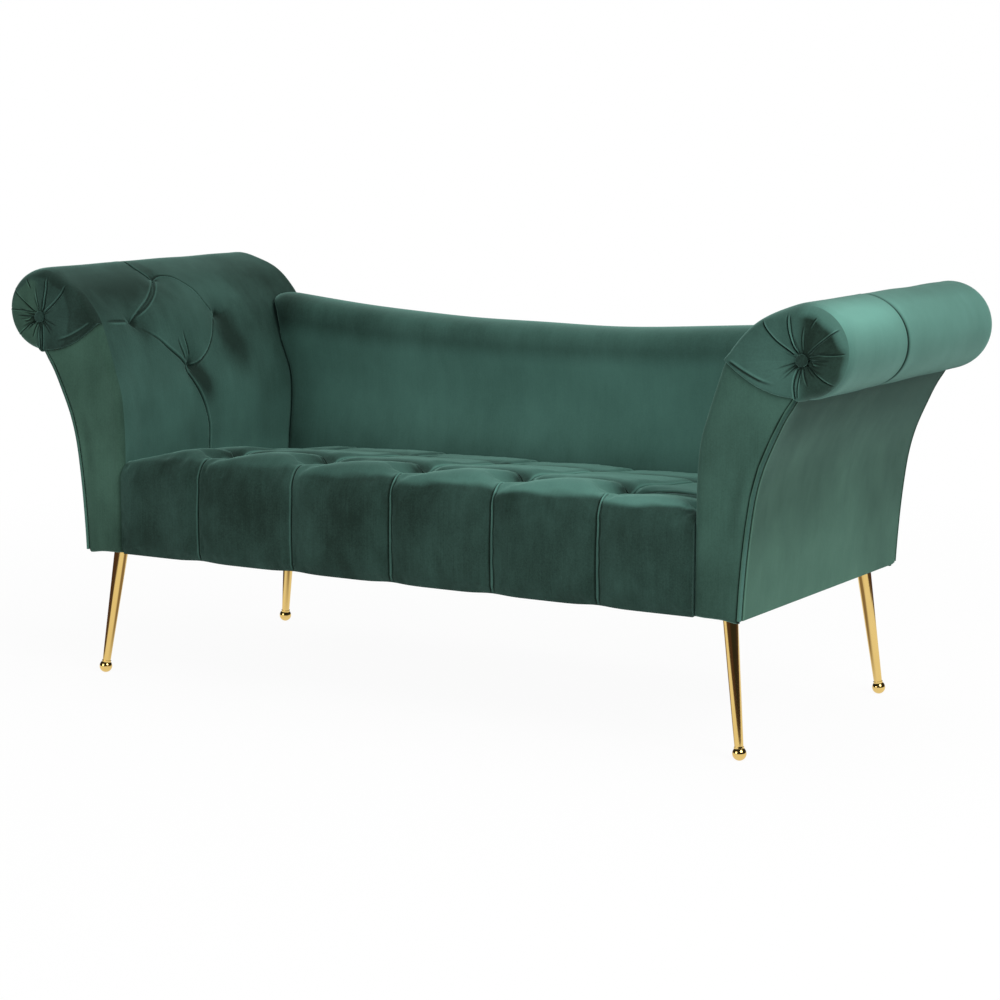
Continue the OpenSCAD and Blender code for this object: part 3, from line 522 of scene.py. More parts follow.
# uneven tone from long and fine noise, shared by the plain finishes
def makeWearGroup(share=wearShares):
    group, gin, gout = nodeGroup("unevenFinish", [
        ("dark", "NodeSocketColor", (0, 0, 0, 1)), ("light", "NodeSocketColor", (1, 1, 1, 1)),
        ("scale", "NodeSocketFloat", 20.0), ("stretch", "NodeSocketVector", (1, 1, 1)),
        ("roughLow", "NodeSocketFloat", 0.4), ("roughHigh", "NodeSocketFloat", 0.7),
        ("relief", "NodeSocketFloat", 0.2),
    ], finishOutputs)
    size, place = gin.outputs["scale"], plug(group, "ShaderNodeTexCoord").outputs["Object"]
    drawn = plug(group, "ShaderNodeVectorMath", {"operation": "MULTIPLY"}, i0=place,
                 i1=gin.outputs["stretch"]).outputs[0]
    coarse = plug(group, "ShaderNodeTexNoise", None, Vector=drawn, Scale=size, Detail=4.0)
    smaller = maths(group, "MULTIPLY", size, share["finer"])
    fine = plug(group, "ShaderNodeTexNoise", None, Vector=drawn, Scale=smaller, Detail=2.0)
    both = maths(group, "MULTIPLY_ADD", fine.outputs["Fac"], share["fine"])
    group.links.new(maths(group, "MULTIPLY", coarse.outputs["Fac"], 1 - share["fine"]), both.node.inputs[2])
    color = mixed(group, both, gin.outputs["dark"], gin.outputs["light"])
    rough = plug(group, "ShaderNodeMapRange", None, Value=both, To_Min=gin.outputs["roughLow"],
                 To_Max=gin.outputs["roughHigh"])
    bump = plug(group, "ShaderNodeBump", None, Strength=gin.outputs["relief"], Distance=share["reliefDepth"],
                Height=both)
    return endGroup(group, gout, color, rough.outputs[0], bump)


unevenFinish = makeWearGroup()
lookKeys = ("dark", "light", "scale", "stretch", "roughLow", "roughHigh", "relief", "metal")
plainLooks = {      # each finish's values in the order of the keys
    "gold": ((0.70, 0.46, 0.13, 1), (0.84, 0.62, 0.24, 1), 14.0, (1, 1, 0.2), 0.04, 0.10, 0.03, 1.0),
    "timber": ((0.30, 0.17, 0.08, 1), (0.62, 0.43, 0.24, 1), 30.0, (0.12, 1, 1), 0.55, 0.8, 0.3, 0.0),
    "plywood": ((0.34, 0.22, 0.12, 1), (0.66, 0.50, 0.32, 1), 24.0, (1, 1, 0.15), 0.6, 0.85, 0.25, 0.0),
    "board": ((0.22, 0.15, 0.10, 1), (0.44, 0.33, 0.23, 1), 90.0, (1, 1, 1), 0.75, 0.95, 0.2, 0.0),
    "foam": ((0.55, 0.48, 0.28, 1), (0.86, 0.80, 0.58, 1), 120.0, (1, 1, 1), 0.85, 0.98, 0.5, 0.0),
    "black_cloth": ((0.006, 0.006, 0.007, 1), (0.035, 0.035, 0.038, 1), 160.0, (1, 1, 1), 0.8, 0.95, 0.4,
                    0.0),
    "clip_plastic": ((0.02, 0.02, 0.022, 1), (0.05, 0.05, 0.055, 1), 60.0, (1, 1, 1), 0.35, 0.5, 0.05, 0.0),
    "steel": ((0.30, 0.30, 0.31, 1), (0.56, 0.56, 0.57, 1), 40.0, (1, 1, 1), 0.25, 0.5, 0.1, 1.0),
    "thread": ((0.010, 0.034, 0.027, 1), (0.050, 0.125, 0.100, 1), 300.0, (1, 1, 1), 0.5, 0.7, 0.1, 0.0),
}


def makePlain(name, look):
    values = dict(zip(lookKeys, look))
    metal = values.pop("metal")
    material, shader = newMaterial(name + "Finish", unevenFinish, values)
    shader.inputs["Metallic"].default_value = metal
    return material


plain = {name: makePlain(name, look) for name, look in plainLooks.items()}
for part in frame["record"].get("subparts", []):
    node = frame["nodes"].get(part.get("node"))
    finish = plain.get(part.get("material_slot"))
    if node is not None and finish is not None:
        node.data.materials.clear()
        node.data.materials.append(finish)
print("finishes made")


# what every finished piece is told: its body and the nodes it stands for
def dress(piece, nodes):
    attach(piece, "root")
    if nodes:
        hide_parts(*nodes)
    return piece


# arms: path of the cover, up the inside, over the top and round the roll

arm = {
    "foot": 0.566, "tuck": 0.345, "low": 0.230, "run": 0.179, "rise": 0.501,
    "inside": [(0, .399), (.028, .545), (.095, .635), (.173, .722), (.268, .814), (.4, .882),
               (.553, .934), (.765, .976), (1, 1)],
    "outside": [(0, 0), (.045, .19), (.114, .374), (.216, .554), (.364, .691), (.602, .829), (.784, .92),
                (1, 1)],
    "length": 0.650, "outerPad": 0.007,
    "roll": (0.745, 0.656), "rollRadius": 0.075, "wrap": 184,
    "halfWidth": 0.305, "halfDepth": 0.317, "gap": 0.0003,
}


def makeInsideLine():
    points = [(arm["foot"] + arm["run"] * a, arm["low"] + arm["rise"] * b) for a, b in arm["inside"]]
    before = (arm["foot"], 2 * points[0][1] - points[1][1])
    after = (2 * arm["roll"][0] - points[-2][0], points[-2][1])
    curve = curveThrough(points, 14, before, after)
    foot = np.stack([np.full(18, arm["foot"]), np.linspace(arm["tuck"], points[0][1], 19)[:-1]], -1)
    turn = np.radians(90 - np.linspace(0, arm["wrap"], 93)[1:])
    bend = np.array(arm["roll"]) + arm["rollRadius"] * np.stack([np.cos(turn), np.sin(turn)], -1)
    return np.vstack([foot, curve]), np.vstack([foot, curve, bend])


def makeOutsideLine():
    top = (arm["roll"][0] - arm["outerPad"], arm["roll"][1] - arm["rollRadius"] - arm["gap"])
    points = [(arm["length"] + (top[0] - arm["length"]) * a, arm["low"] + (top[1] - arm["low"]) * b)
              for a, b in arm["outside"]]
    return curveThrough(points, 14, (arm["length"], 2 * points[0][1] - points[1][1]))


insideLine, armLine = makeInsideLine()
outsideLine = makeOutsideLine()

# how the cloth turns over the ends of an arm: reach across, depth and fullness of the bend
rim = {
    "out": 0.3233, "joint": 0.3053,
    "flat": (0.018, 0.011, 2.0), "round": (0.044, 0.026, 2.5), "tuck": (0.006, 0.006, 2.0),
    "from": 0.385, "grow": 0.075,
}


def rimShape(s):
    share = smooth((s - rim["from"]) / rim["grow"])[..., None]
    return np.moveaxis(np.array(rim["flat"]) * (1 - share) + np.array(rim["round"]) * share, -1, 0)


def rimDrop(s, y):
    reach, depth, full = rimShape(s)
    a = np.clip((np.abs(y) - rim["out"] + reach) / reach, 0, 1)
    return depth * (1 - (1 - a ** full) ** (1 / full))


armPad = {
    # along the cover, across, and size
    "tufts": [(0.388, -0.079, 0.55), (0.2955, -0.212, 0.9), (0.296, 0.042, 1.0), (0.2045, -0.080, 1.0)],
    "pit": (0.0085, 0.026, 0.0060, 0.0075),      # broad and narrow hollow: depth and reach of each
    # painted shade at each tuft: how dark, and how far it reaches
    "pitShade": (0.9, 0.007),
    "pucker": (0.034, 10, 0.0009, 40),      # reach, count, depth and seed of wrinkles
    "puff": 0.008, "puffAt": (0.300, -0.095), "puffReach": 0.075, "drape": 0.0008, "pad": 0.0225,
    "folds": [        # points along and across, depth, width, lip, side of the lip, fades
        ([(0.470, -0.081), (0.446, -0.088), (0.426, -0.094), (0.407, -0.092), (0.387, -0.085)],
         0.0042, 0.0021, 0.0014, -1, (0.45, 0)),
        ([(0.383, -0.086), (0.355, -0.123), (0.335, -0.151), (0.318, -0.183), (0.304, -0.206),
          (0.298, -0.211)], 0.0042, 0.0020, 0.0015, 1, (0, 0)),
        ([(0.383, -0.082), (0.354, -0.113), (0.334, -0.140), (0.319, -0.168), (0.307, -0.200)],
         0.0028, 0.0018, 0.0012, -1, (0.1, 0.15)),
        ([(0.387, -0.083), (0.394, -0.063), (0.392, -0.046), (0.385, -0.027), (0.368, -0.011),
          (0.352, 0.003), (0.333, 0.011), (0.319, 0.015), (0.302, 0.030)],
         0.0032, 0.0019, 0.0014, 1, (0, 0.05)),
        ([(0.300, 0.039), (0.277, 0.017), (0.252, 0.001), (0.228, -0.022), (0.211, -0.048), (0.204, -0.069),
          (0.205, -0.078)], 0.0032, 0.0019, 0.0014, 1, (0.05, 0)),
        ([(0.295, -0.211), (0.278, -0.191), (0.258, -0.159), (0.240, -0.138), (0.223, -0.115),
          (0.207, -0.091)], 0.0030, 0.0021, 0.0014, -1, (0.75, 0)),
        ([(0.205, -0.093), (0.194, -0.095), (0.172, -0.085), (0.149, -0.072), (0.127, -0.061),
          (0.101, -0.053), (0.076, -0.051), (0.040, -0.054), (0.0, -0.056)],
         0.0036, 0.0019, 0.0012, -1, (0, 0)),
        ([(0.274, -0.089), (0.250, -0.086), (0.222, -0.078)], 0.0014, 0.0020, 0.0010, 1, (0.5, 0.1)),
        ([(0.261, -0.108), (0.239, -0.103), (0.216, -0.090)], 0.0012, 0.0020, 0.0008, -1, (0.5, 0.1)),
        ([(0.378, -0.093), (0.359, -0.110), (0.342, -0.128)], 0.0012, 0.0020, 0.0010, 1, (0.1, 0.6)),
        ([(0.302, -0.296), (0.301, -0.268), (0.300, -0.231)], 0.0010, 0.0026, 0.0007, 1, (0.5, 0.1)),
    ],
    "ring": (0.0045, 0.0044, 0.0006, -1),      # seam round the roll: depth, width, lip, side of the lip
    "ringLine": [(0.468, -0.080), (0.500, -0.083), (0.540, -0.079), (0.580, -0.075), (0.640, -0.071),
                 (0.7077, -0.073)],
    # painted shade in the seam round the roll, and a painted highlight on its lip
    "ringShadeAndHighlight": (4.5, 0.5),      # dark and light mark of that seam
    # brushed tone along the cover, with painted shade on the upper inside and a painted highlight over the
    # top of the roll
    "napAndShade": [(0, .41), (.16, .37), (.24, .24), (.33, .20), (.42, .15), (.458, .17), (.478, .42), (.52, .66),
            (.58, .60), (.63, .38), (.7077, .26)],
    # painted shade in the lee of the tufts
    "shade": [       # points along and across, how dark, how wide
        ([(0.294, 0.040), (0.250, 0.056), (0.219, 0.080), (0.167, 0.108), (0.118, 0.140)], 0.20, 0.036),
        ([(0.200, -0.080), (0.180, -0.064), (0.154, -0.048), (0.118, -0.030)], 0.42, 0.025),
        ([(0.293, -0.212), (0.274, -0.188), (0.258, -0.160)], 0.12, 0.018),
        ([(0.452, -0.070), (0.425, -0.066), (0.400, -0.072)], 0.14, 0.012),
    ],
    # light on the right roll and shade below the left one: amount, place and reach along, then across
    "rollBright": (0.72, 0.518, 0.042, -0.225, 0.150), "rollLeft": (0.19, 0.385, 0.060),
    "rowStops": [(0, 0), (0.045, 0.0045), (0.180, 0.0022), (0.465, 0.0018), (0.7077, 0.0036)],
    "colStops": [(-0.305, 0), (-0.275, 0.0022), (-0.250, 0.0030), (-0.097, 0.0018), (-0.063, 0.0010),
                 (0.055, 0.0018), (0.275, 0.0044), (0.305, 0.0022)],
    "simStep": 0.0085, "heldReach": 0.007, "easing": 3, "press": 3.0, "slack": 0.012, "cap": 0.0030,
}


# padding over the arm's path: puffs, tufts, folds and the ring seam; and the painted highlight and shade of
# the folds, pits and seam
def armSwell(s, y, look=armPad):
    swell, shading = np.zeros(s.shape), np.zeros(s.shape)
    fromPuff = np.hypot(s - look["puffAt"][0], (y - look["puffAt"][1]) * 0.85)
    swell += look["puff"] * hollow(fromPuff, look["puffReach"])
    fromEnds = smooth((arm["halfWidth"] - np.abs(y)) / 0.05)
    swell += look["drape"] * drift(s, y, 0.20, 5) * smooth((s - 0.03) / 0.06) * fromEnds
    deep, broad, sunk, narrow = look["pit"]
    dark, darkReach = look["pitShade"]
    *wrinkles, seed = look["pucker"]
    for k, (a, b, size) in enumerate(look["tufts"]):
        r = np.hypot(s - a, y - b)
        swell -= size * (deep * hollow(r, broad) + sunk * hollow(r, narrow))
        swell += pucker(s, y, (a, b), *wrinkles, seed + k)
        shading -= dark * hollow(r, darkReach)
    for points, depth, width, lip, side, fade in look["folds"]:
        w, m = crease(s, y, points, depth, width, lip, side, fade)
        swell, shading = swell + w, shading + m
    w, m = crease(s, y, look["ringLine"], *look["ring"])
    return swell + w, shading + np.where(m < 0, *look["ringShadeAndHighlight"]) * m


# brushed tone with painted light and shade: shade in the lee of the tufts and near the back, a highlight on
# the right roll and shade below the left one
def armNapAndShade(s, y, left, look=armPad):
    napAndShade = valueAt(s, look["napAndShade"])
    for points, dark, wide in look["shade"]:
        d, _, t = toLine(s, y, np.array(points))
        napAndShade = napAndShade - dark * hollow(d, wide) * smooth((1.05 - t) / 0.6) * smooth((t + 0.06) / 0.1)
    napAndShade = napAndShade - 0.14 * smooth((y - 0.09) / 0.10) * smooth((0.46 - s) / 0.1) * smooth((s - 0.08) / 0.1)
    if left:
        size, at, wide = look["rollLeft"]
        napAndShade = napAndShade - size * hollow(s - at, wide) * smooth((-0.02 - y) / 0.12)
    else:
        size, at, wide, across, reach = look["rollBright"]
        napAndShade = napAndShade + size * hollow(s - at, wide) * hollow(y - across, reach) + 0.10 * hollow(s - 0.55, 0.05)
    return napAndShade + 0.05 * drift(s, y, 0.13, 15)


def armSurface(s, y, withFolds=True):
    if withFolds:
        swell, shading = armSwell(s, y)
    else:
        swell = sum(-size * armPad["pit"][0] * hollow(np.hypot(s - a, y - b), armPad["pit"][1])
                    for a, b, size in armPad["tufts"])
        shading = None
    return lifted(onLine(armLine, s[:, 0]), leftOf(armLine, s[:, 0]), swell - rimDrop(s, y), y), shading


def makeArmPads(look=armPad):
    rows, cols = spread(look["rowStops"]), spread(look["colStops"])
    s, y = np.meshgrid(rows, cols, indexing="ij")
    points, shading = armSurface(s, y)
    # a coarser sheet is blown out between its tufts and seams, and the fine one follows it
    simRows = spread([(0, 0), (rows[-1], look["simStep"])])
    simCols = spread([(cols[0], 0), (cols[-1], look["simStep"])])
    ss, sy = np.meshgrid(simRows, simCols, indexing="ij")
    sheet, _ = armSurface(ss, sy, withFolds=False)
    held = np.zeros(ss.shape)
    held[[0, 1, -1]] = 1
    held[:, [0, 1, -1, -2]] = 1
    for a, b, _ in look["tufts"]:
        held[np.hypot(ss - a, sy - b) < look["heldReach"]] = 1
    # the roll, and the seam down from the lowest tuft, stay where they are
    held[ss > look["tufts"][0][0] + 0.03] = 1
    held[(ss < look["tufts"][3][0]) & (np.abs(sy + 0.06) < 0.006)] = 1
    moved = clothPuff("armSheet", sheet, held, look["press"], look["slack"], look["cap"])
    for _ in range(look["easing"]):      # small buckles of the coarse sheet are eased out
        moved[1:-1] = (moved[:-2] + 2 * moved[1:-1] + moved[2:]) / 4
        moved[:, 1:-1] = (moved[:, :-2] + 2 * moved[:, 1:-1] + moved[:, 2:]) / 4
    calm = smooth((0.40 - ss) / 0.07) * smooth(ss / 0.05) * smooth((0.295 - np.abs(sy)) / 0.05)
    moved = moved * calm[..., None]
    points = points + resampled(resampled(moved, simRows, rows, 0), simCols, cols, 1)
    hidden = lifted(onLine(armLine, rows), leftOf(armLine, rows), 0 * y - look["pad"], y)
    # columns run right when rows run up, as seen from the sitting side: across from the back to the front
    skin, faces = closedSkin(points[:, ::-1], hidden[:, ::-1], 14)
    uv = np.stack([y, s], -1)[:, ::-1]
    for name, mirror in bothArms:
        layers = {"napAndShade": armNapAndShade(s, y, mirror)[:, ::-1], "fold": shading[:, ::-1]}
        piece = newPiece(name + "ArmPad", skin, faces, velvet, layers, uv, mirror)
        dress(piece, [name + "_arm_cover"])


makeArmPads()
print("arm pads made")

# arms: facings, outer sides and scroll ends


# one skin as four pieces: front and back, on both arms
def dressEnds(part, skin, faces, layers, uv):
    for name, mirror in bothArms:
        for end, (points, quads) in (("Front", (skin, faces)), ("Back", turnedBack(skin, faces))):
            piece = newPiece(name + end + part, points, quads, velvet, layers[name], uv, mirror)
            dress(piece, [name + "_arm_" + end.lower() + "_" + part.lower()])


facing = {
    "pleatPoint": 4, "sag": 0.013, "front": 0.317, "back": 0.3050, "edge": 0.0115, "drape": 0.0010,
    "rowStep": 0.0030, "cols": 40, "sideEdge": 0.0028, "cornerHang": 0.004,
    "napAndShade": [(0, .27), (.12, .31), (.25, .36), (.40, .38)],
    # painted brightness of each arm's facing, lower on the left one as painted shade, and its warmth
    "shadeAndWarmth": {"right": (0.97, 0.35), "left": (0.86, 0.75)},      # brightness and warmth
    # soft hollows of the facing: points across and up, depth, width, lip, side, fades
    "folds": [([(0.655, 0.500), (0.640, 0.420), (0.630, 0.330)], 0.0007, 0.012, 0.0004, 1, (0.4, 0.4))],
}
pleatStart = np.array([arm["foot"] + arm["run"] * arm["inside"][facing["pleatPoint"]][0],
                       arm["low"] + arm["rise"] * arm["inside"][facing["pleatPoint"]][1]])
sideLine = outsideLine + leftOf(outsideLine, lengthAlong(outsideLine)) * (arm["outerPad"] + arm["gap"])
pleatEnd = sideLine[-1]


# the long pleat from the end of the roll's underside to the inside of the arm
def pleatLine(share):
    share = np.asarray(share)[..., None]
    sag = np.array([0, 4 * facing["sag"]])
    return pleatEnd * (1 - share) + pleatStart * share - sag * share * (1 - share)


def bendOver(d, r):
    return 1 - np.sqrt(np.clip(1 - (1 - np.clip(d / r, 0, 1)) ** 2, 0, 1))


# front and back facings: velvet over the scroll board, up to the long pleat under the roll
def makeFacings(look=facing):
    inner = insideLine[insideLine[:, 1] <= pleatStart[1] + 1e-6]
    inner = np.vstack([[arm["foot"], arm["low"]], inner])
    side = np.vstack([[sideLine[0][0], arm["low"]], sideLine[sideLine[:, 1] > arm["low"]]])
    length = lengthAlong(side)[-1]
    n = int(length / look["rowStep"])
    t = np.linspace(0, 1, n)
    left, right = onLine(inner, t * lengthAlong(inner)[-1]), onLine(side, t * length)
    w = packed([0, 1], look["cols"], 0.75)
    x = left[:, :1] * (1 - w) + right[:, :1] * w
    z = left[:, 1:] * (1 - w) + right[:, 1:] * w
    z = z - 4 * look["sag"] * w * (1 - w) * (t[:, None] ** 5)
    width = np.linalg.norm(right - left, axis=1)[:, None]
    height = np.repeat((t * length)[:, None], len(w), 1)
    fromLeft, fromRight = w * width, (1 - w) * width
    low = smooth(1 - height / 0.02)
    z = z - look["cornerHang"] * low * hollow(fromRight, 0.02) - 0.0012 * low * smooth(fromLeft / 0.02)
    dip = np.maximum(bendOver(fromLeft, look["edge"]), 0.5 * bendOver(fromRight, look["sideEdge"]))
    dip = np.maximum(dip, 0.45 * bendOver(height, 0.006))
    depth = (look["front"] - look["back"]) * (1 - dip)
    depth = depth + look["drape"] * drift(x, z, 0.2, 12) * smooth(fromLeft / 0.04) * smooth(fromRight / 0.03)
    shading = np.zeros(x.shape)
    for points, d, wide, lip, hand, fade in look["folds"]:
        a, b = crease(x, z, points, d, wide, lip, hand, fade)
        depth, shading = depth + a, shading + 0.2 * b
    # painted shade in the seam along the outer edge and along the bottom edge
    shading -= 1.2 * hollow(fromRight, 0.0022) + 0.6 * hollow((1 - t)[:, None] * length + 0 * w, 0.003)
    y = -(look["back"] + np.maximum(depth, 0.0015 * (fromLeft > 0.002)))
    grid = np.stack([x, y, z], -1)
    hidden = np.stack([x, np.full(x.shape, -look["back"]), z], -1)
    skin, faces = closedSkin(grid, hidden, 10)
    # darker towards the bottom, with painted shade along the inner edge where the cloth turns
    napAndShade = valueAt(height, look["napAndShade"]) + 0.04 * drift(x, z, 0.15, 19)
    napAndShade = napAndShade - 0.05 * hollow(fromLeft, 0.014)
    layers = {name: {"napAndShade": napAndShade * bright, "fold": shading, "warm": np.full(napAndShade.shape, warm)}
              for name, (bright, warm) in look["shadeAndWarmth"].items()}
    dressEnds("Facing", skin, faces, layers, np.stack([x, z], -1))


makeFacings()
print("facings made")

outerSide = {
    "rowStep": 0.0040, "drape": 0.0006, "edge": 0.0030, "warm": 0.8, "hiddenNapAndShade": 0.52,
    # painted shade in the seam's groove and a painted highlight on its lip
    "foldMark": (2.6, 1.2),      # dark and light mark of the seam
    "colStops": [(-0.317, 0), (-0.3030, 0.00058), (-0.290, 0.0020), (-0.26, 0.004), (0.26, 0.007),
                 (0.290, 0.004), (0.3030, 0.0020), (0.317, 0.00058)],
    "seam": (0.3112, 0.0026, 0.0022, 0.0005),      # place, depth, width and lip
    # a painted highlight along the rounded front and back edges
    "border": (0.3125, 0.002, 0.16),               # where its tone starts to lighten, how fast, how much
    "napAndShade": [(0, .45), (.10, .35), (.20, .21), (.30, .06), (.40, -.06)],
}


# how far the side panel's cloth stands off its line near its front and back edges, and the seam's mark
def sideEdgeLift(s, y, end, look=outerSide):
    at, depth, width, lip = look["seam"]
    y = np.abs(y) + 0 * s
    lift, shading = crease(s + 0 * y, y, [(-0.01, at), (end + 0.01, at)], depth, width, lip, -1, curved=False)
    corner = np.clip((y - (arm["halfDepth"] - look["edge"])) / look["edge"], 0, 1)
    return lift - look["edge"] * (1 - np.sqrt(np.clip(1 - corner ** 2, 0, 1))), shading


# velvet down the outside of each arm, with a twin-stitched seam down both edges
def makeOuterSides(look=outerSide):
    end = lengthAlong(outsideLine)[-1]
    rows, cols = np.linspace(0, end, int(end / look["rowStep"])), spread(look["colStops"])
    s, y = np.meshgrid(rows, cols, indexing="ij")
    p, n = onLine(outsideLine, rows), -leftOf(outsideLine, rows)
    swell, shading = sideEdgeLift(s, y, end)
    swell += look["drape"] * drift(s, y, 0.22, 21) * smooth((0.29 - np.abs(y)) / 0.05) * smooth(s / 0.05)
    swell -= 0.001 * smooth((s - end + 0.02) / 0.02)
    points = lifted(p, n, swell, y)
    # the lower back corner is drawn in a little
    points[..., 2] += 0.004 * smooth(1 - s / 0.022) * smooth((np.abs(y) - 0.297) / 0.02) * (y > 0)
    hidden = lifted(p, n, 0 * y - arm["outerPad"], y)
    hidden[..., 2] = np.maximum(hidden[..., 2], arm["low"])
    skin, faces = closedSkin(points, hidden, 12)
    start, grow, lighter = look["border"]
    border = smooth((np.abs(y) - start) / grow)
    # darker towards the back, and towards the top with painted shade under the roll; a painted highlight on
    # the rounded edges, and the seam's painted shade and highlight
    napAndShade = valueAt(s, look["napAndShade"]) + 0.025 * drift(s, y, 0.3, 27)
    napAndShade = napAndShade - 0.06 * smooth((y - 0.05) / 0.2) + lighter * border
    shading = np.where(shading < 0, *look["foldMark"]) * shading
    layers = {"napAndShade": napAndShade, "fold": shading, "warm": look["warm"] * (1 - border)}
    for name, mirror in bothArms:
        piece = newPiece(name + "OuterSide", skin, faces, velvet, layers, np.stack([y, s], -1), mirror,
                         look["hiddenNapAndShade"])
        dress(piece, [name + "_arm_outer_cover"])


makeOuterSides()
print("outer sides made")

scroll = {
    "centre": (0.745, 0.644), "dish": 0.0055, "angles": 560, "rimRows": 16, "rows": 56, "cornerRun": 0.018,
    # pleats, as places beside and above the axis of the roll in mm: points, depth, width, lip, side, fades
    "pleats": [
        ([(-66, 49.7), (-59, 36.9), (-51.2, 27.6), (-41.4, 18.4), (-31.7, 11), (-22, 4.5), (-12, -3)],
         3.4, 1.9, 2.2, 1, (0.12, 0.05)),
        ([(-23.2, 61.2), (-23, 53.4), (-22.8, 44.7), (-21.1, 34.3), (-18.6, 25.7), (-15.6, 16.2),
          (-12.5, 8.5), (-7, 0)], 2.8, 1.6, 1.8, 1, (0.15, 0.05)),
        ([(-17.9, 61.5), (-17.9, 53.6), (-17.1, 44.9), (-14.9, 31.1), (-11, 16), (-6, 2)],
         1.8, 1.4, 1.0, -1, (0.2, 0.3)),
        ([(25.2, 56.4), (18.8, 46.6), (14.3, 37.7)], 2.2, 1.5, 1.4, 1, (0.2, 0.4)),
        ([(5, 46), (2.2, 30.2), (1.2, 16.2), (0.8, 3)], 1.3, 1.5, 1.0, 1, (0.4, 0.1)),
        ([(61.5, 40.5), (51.5, 32.8), (35.2, 19.8), (24.2, 11.4), (10, -2)], 2.6, 1.5, 2.0, -1, (0.1, 0.05)),
        ([(71.5, 3.2), (59.4, 1.1), (44.4, 0.4), (29.4, 0), (12, -3)], 2.2, 1.4, 1.9, 1, (0.1, 0.05)),
        ([(56.6, -51.5), (44.0, -43.4), (28.7, -32.9), (19, -25), (8, -17)],
         2.6, 1.6, 2.0, -1, (0.08, 0.05)),
        ([(13.4, -50), (8.4, -37.6), (4, -22)], 1.5, 1.6, 1.1, 1, (0.3, 0.1)),
        ([(-8, -70), (-10.2, -56.2), (-10.4, -47.4), (-9.3, -36.8), (-5, -22)],
         3.6, 1.9, 1.8, 1, (0.04, 0.1)),
        ([(-3.9, -68), (-4.4, -57.6), (-3.7, -47.1), (-2.1, -34.7), (0, -22)],
         2.0, 1.5, 1.2, -1, (0.04, 0.2)),
        ([(15.4, -11), (22.2, -17.6), (33.5, -19.1)], 1.4, 1.7, 1.0, 1, (0.1, 0.5)),
        ([(-122, -16.5), (-102.2, -28.5), (-84.6, -37.5), (-68.9, -44.5), (-53.4, -49), (-39.9, -52)],
         0.9, 3.0, 1.5, 1, (0.1, 0.4)),
    ],
    "wrinkles": 46, "wrinkleDepth": 0.0012,
    "button": (0.0098, 0.008), "buttonFace": 0.3170, "buttonNapAndShade": 0.03, "buttonSides": 60,
}


# edge of a scroll end, round the roll and back along the long pleat, with how the cloth turns over it
def scrollOutline():
    full = lengthAlong(armLine)
    start = full[np.argmin(np.linalg.norm(armLine - pleatStart, axis=1))]
    s = np.linspace(start, full[-1], 300)
    line, bend = onLine(armLine, s), rimShape(s).T
    back = pleatLine(np.linspace(0, 1, 60)[1:-1]) + np.array([0, 2 * arm["gap"]])
    tuck = np.repeat(np.array([rim["tuck"]]), len(back), 0)
    line, bend = np.vstack([line, back]), np.vstack([bend, tuck])
    # the turn changes gradually past each corner
    along = lengthAlong(np.vstack([line, line[:1]]))
    corner = along[len(s) - 1]
    for k in range(len(s)):
        near = min(corner - along[k], along[k])
        share = smooth(near / scroll["cornerRun"])
        bend[k] = bend[k] * share + np.array(rim["tuck"]) * (1 - share)
    return line, bend


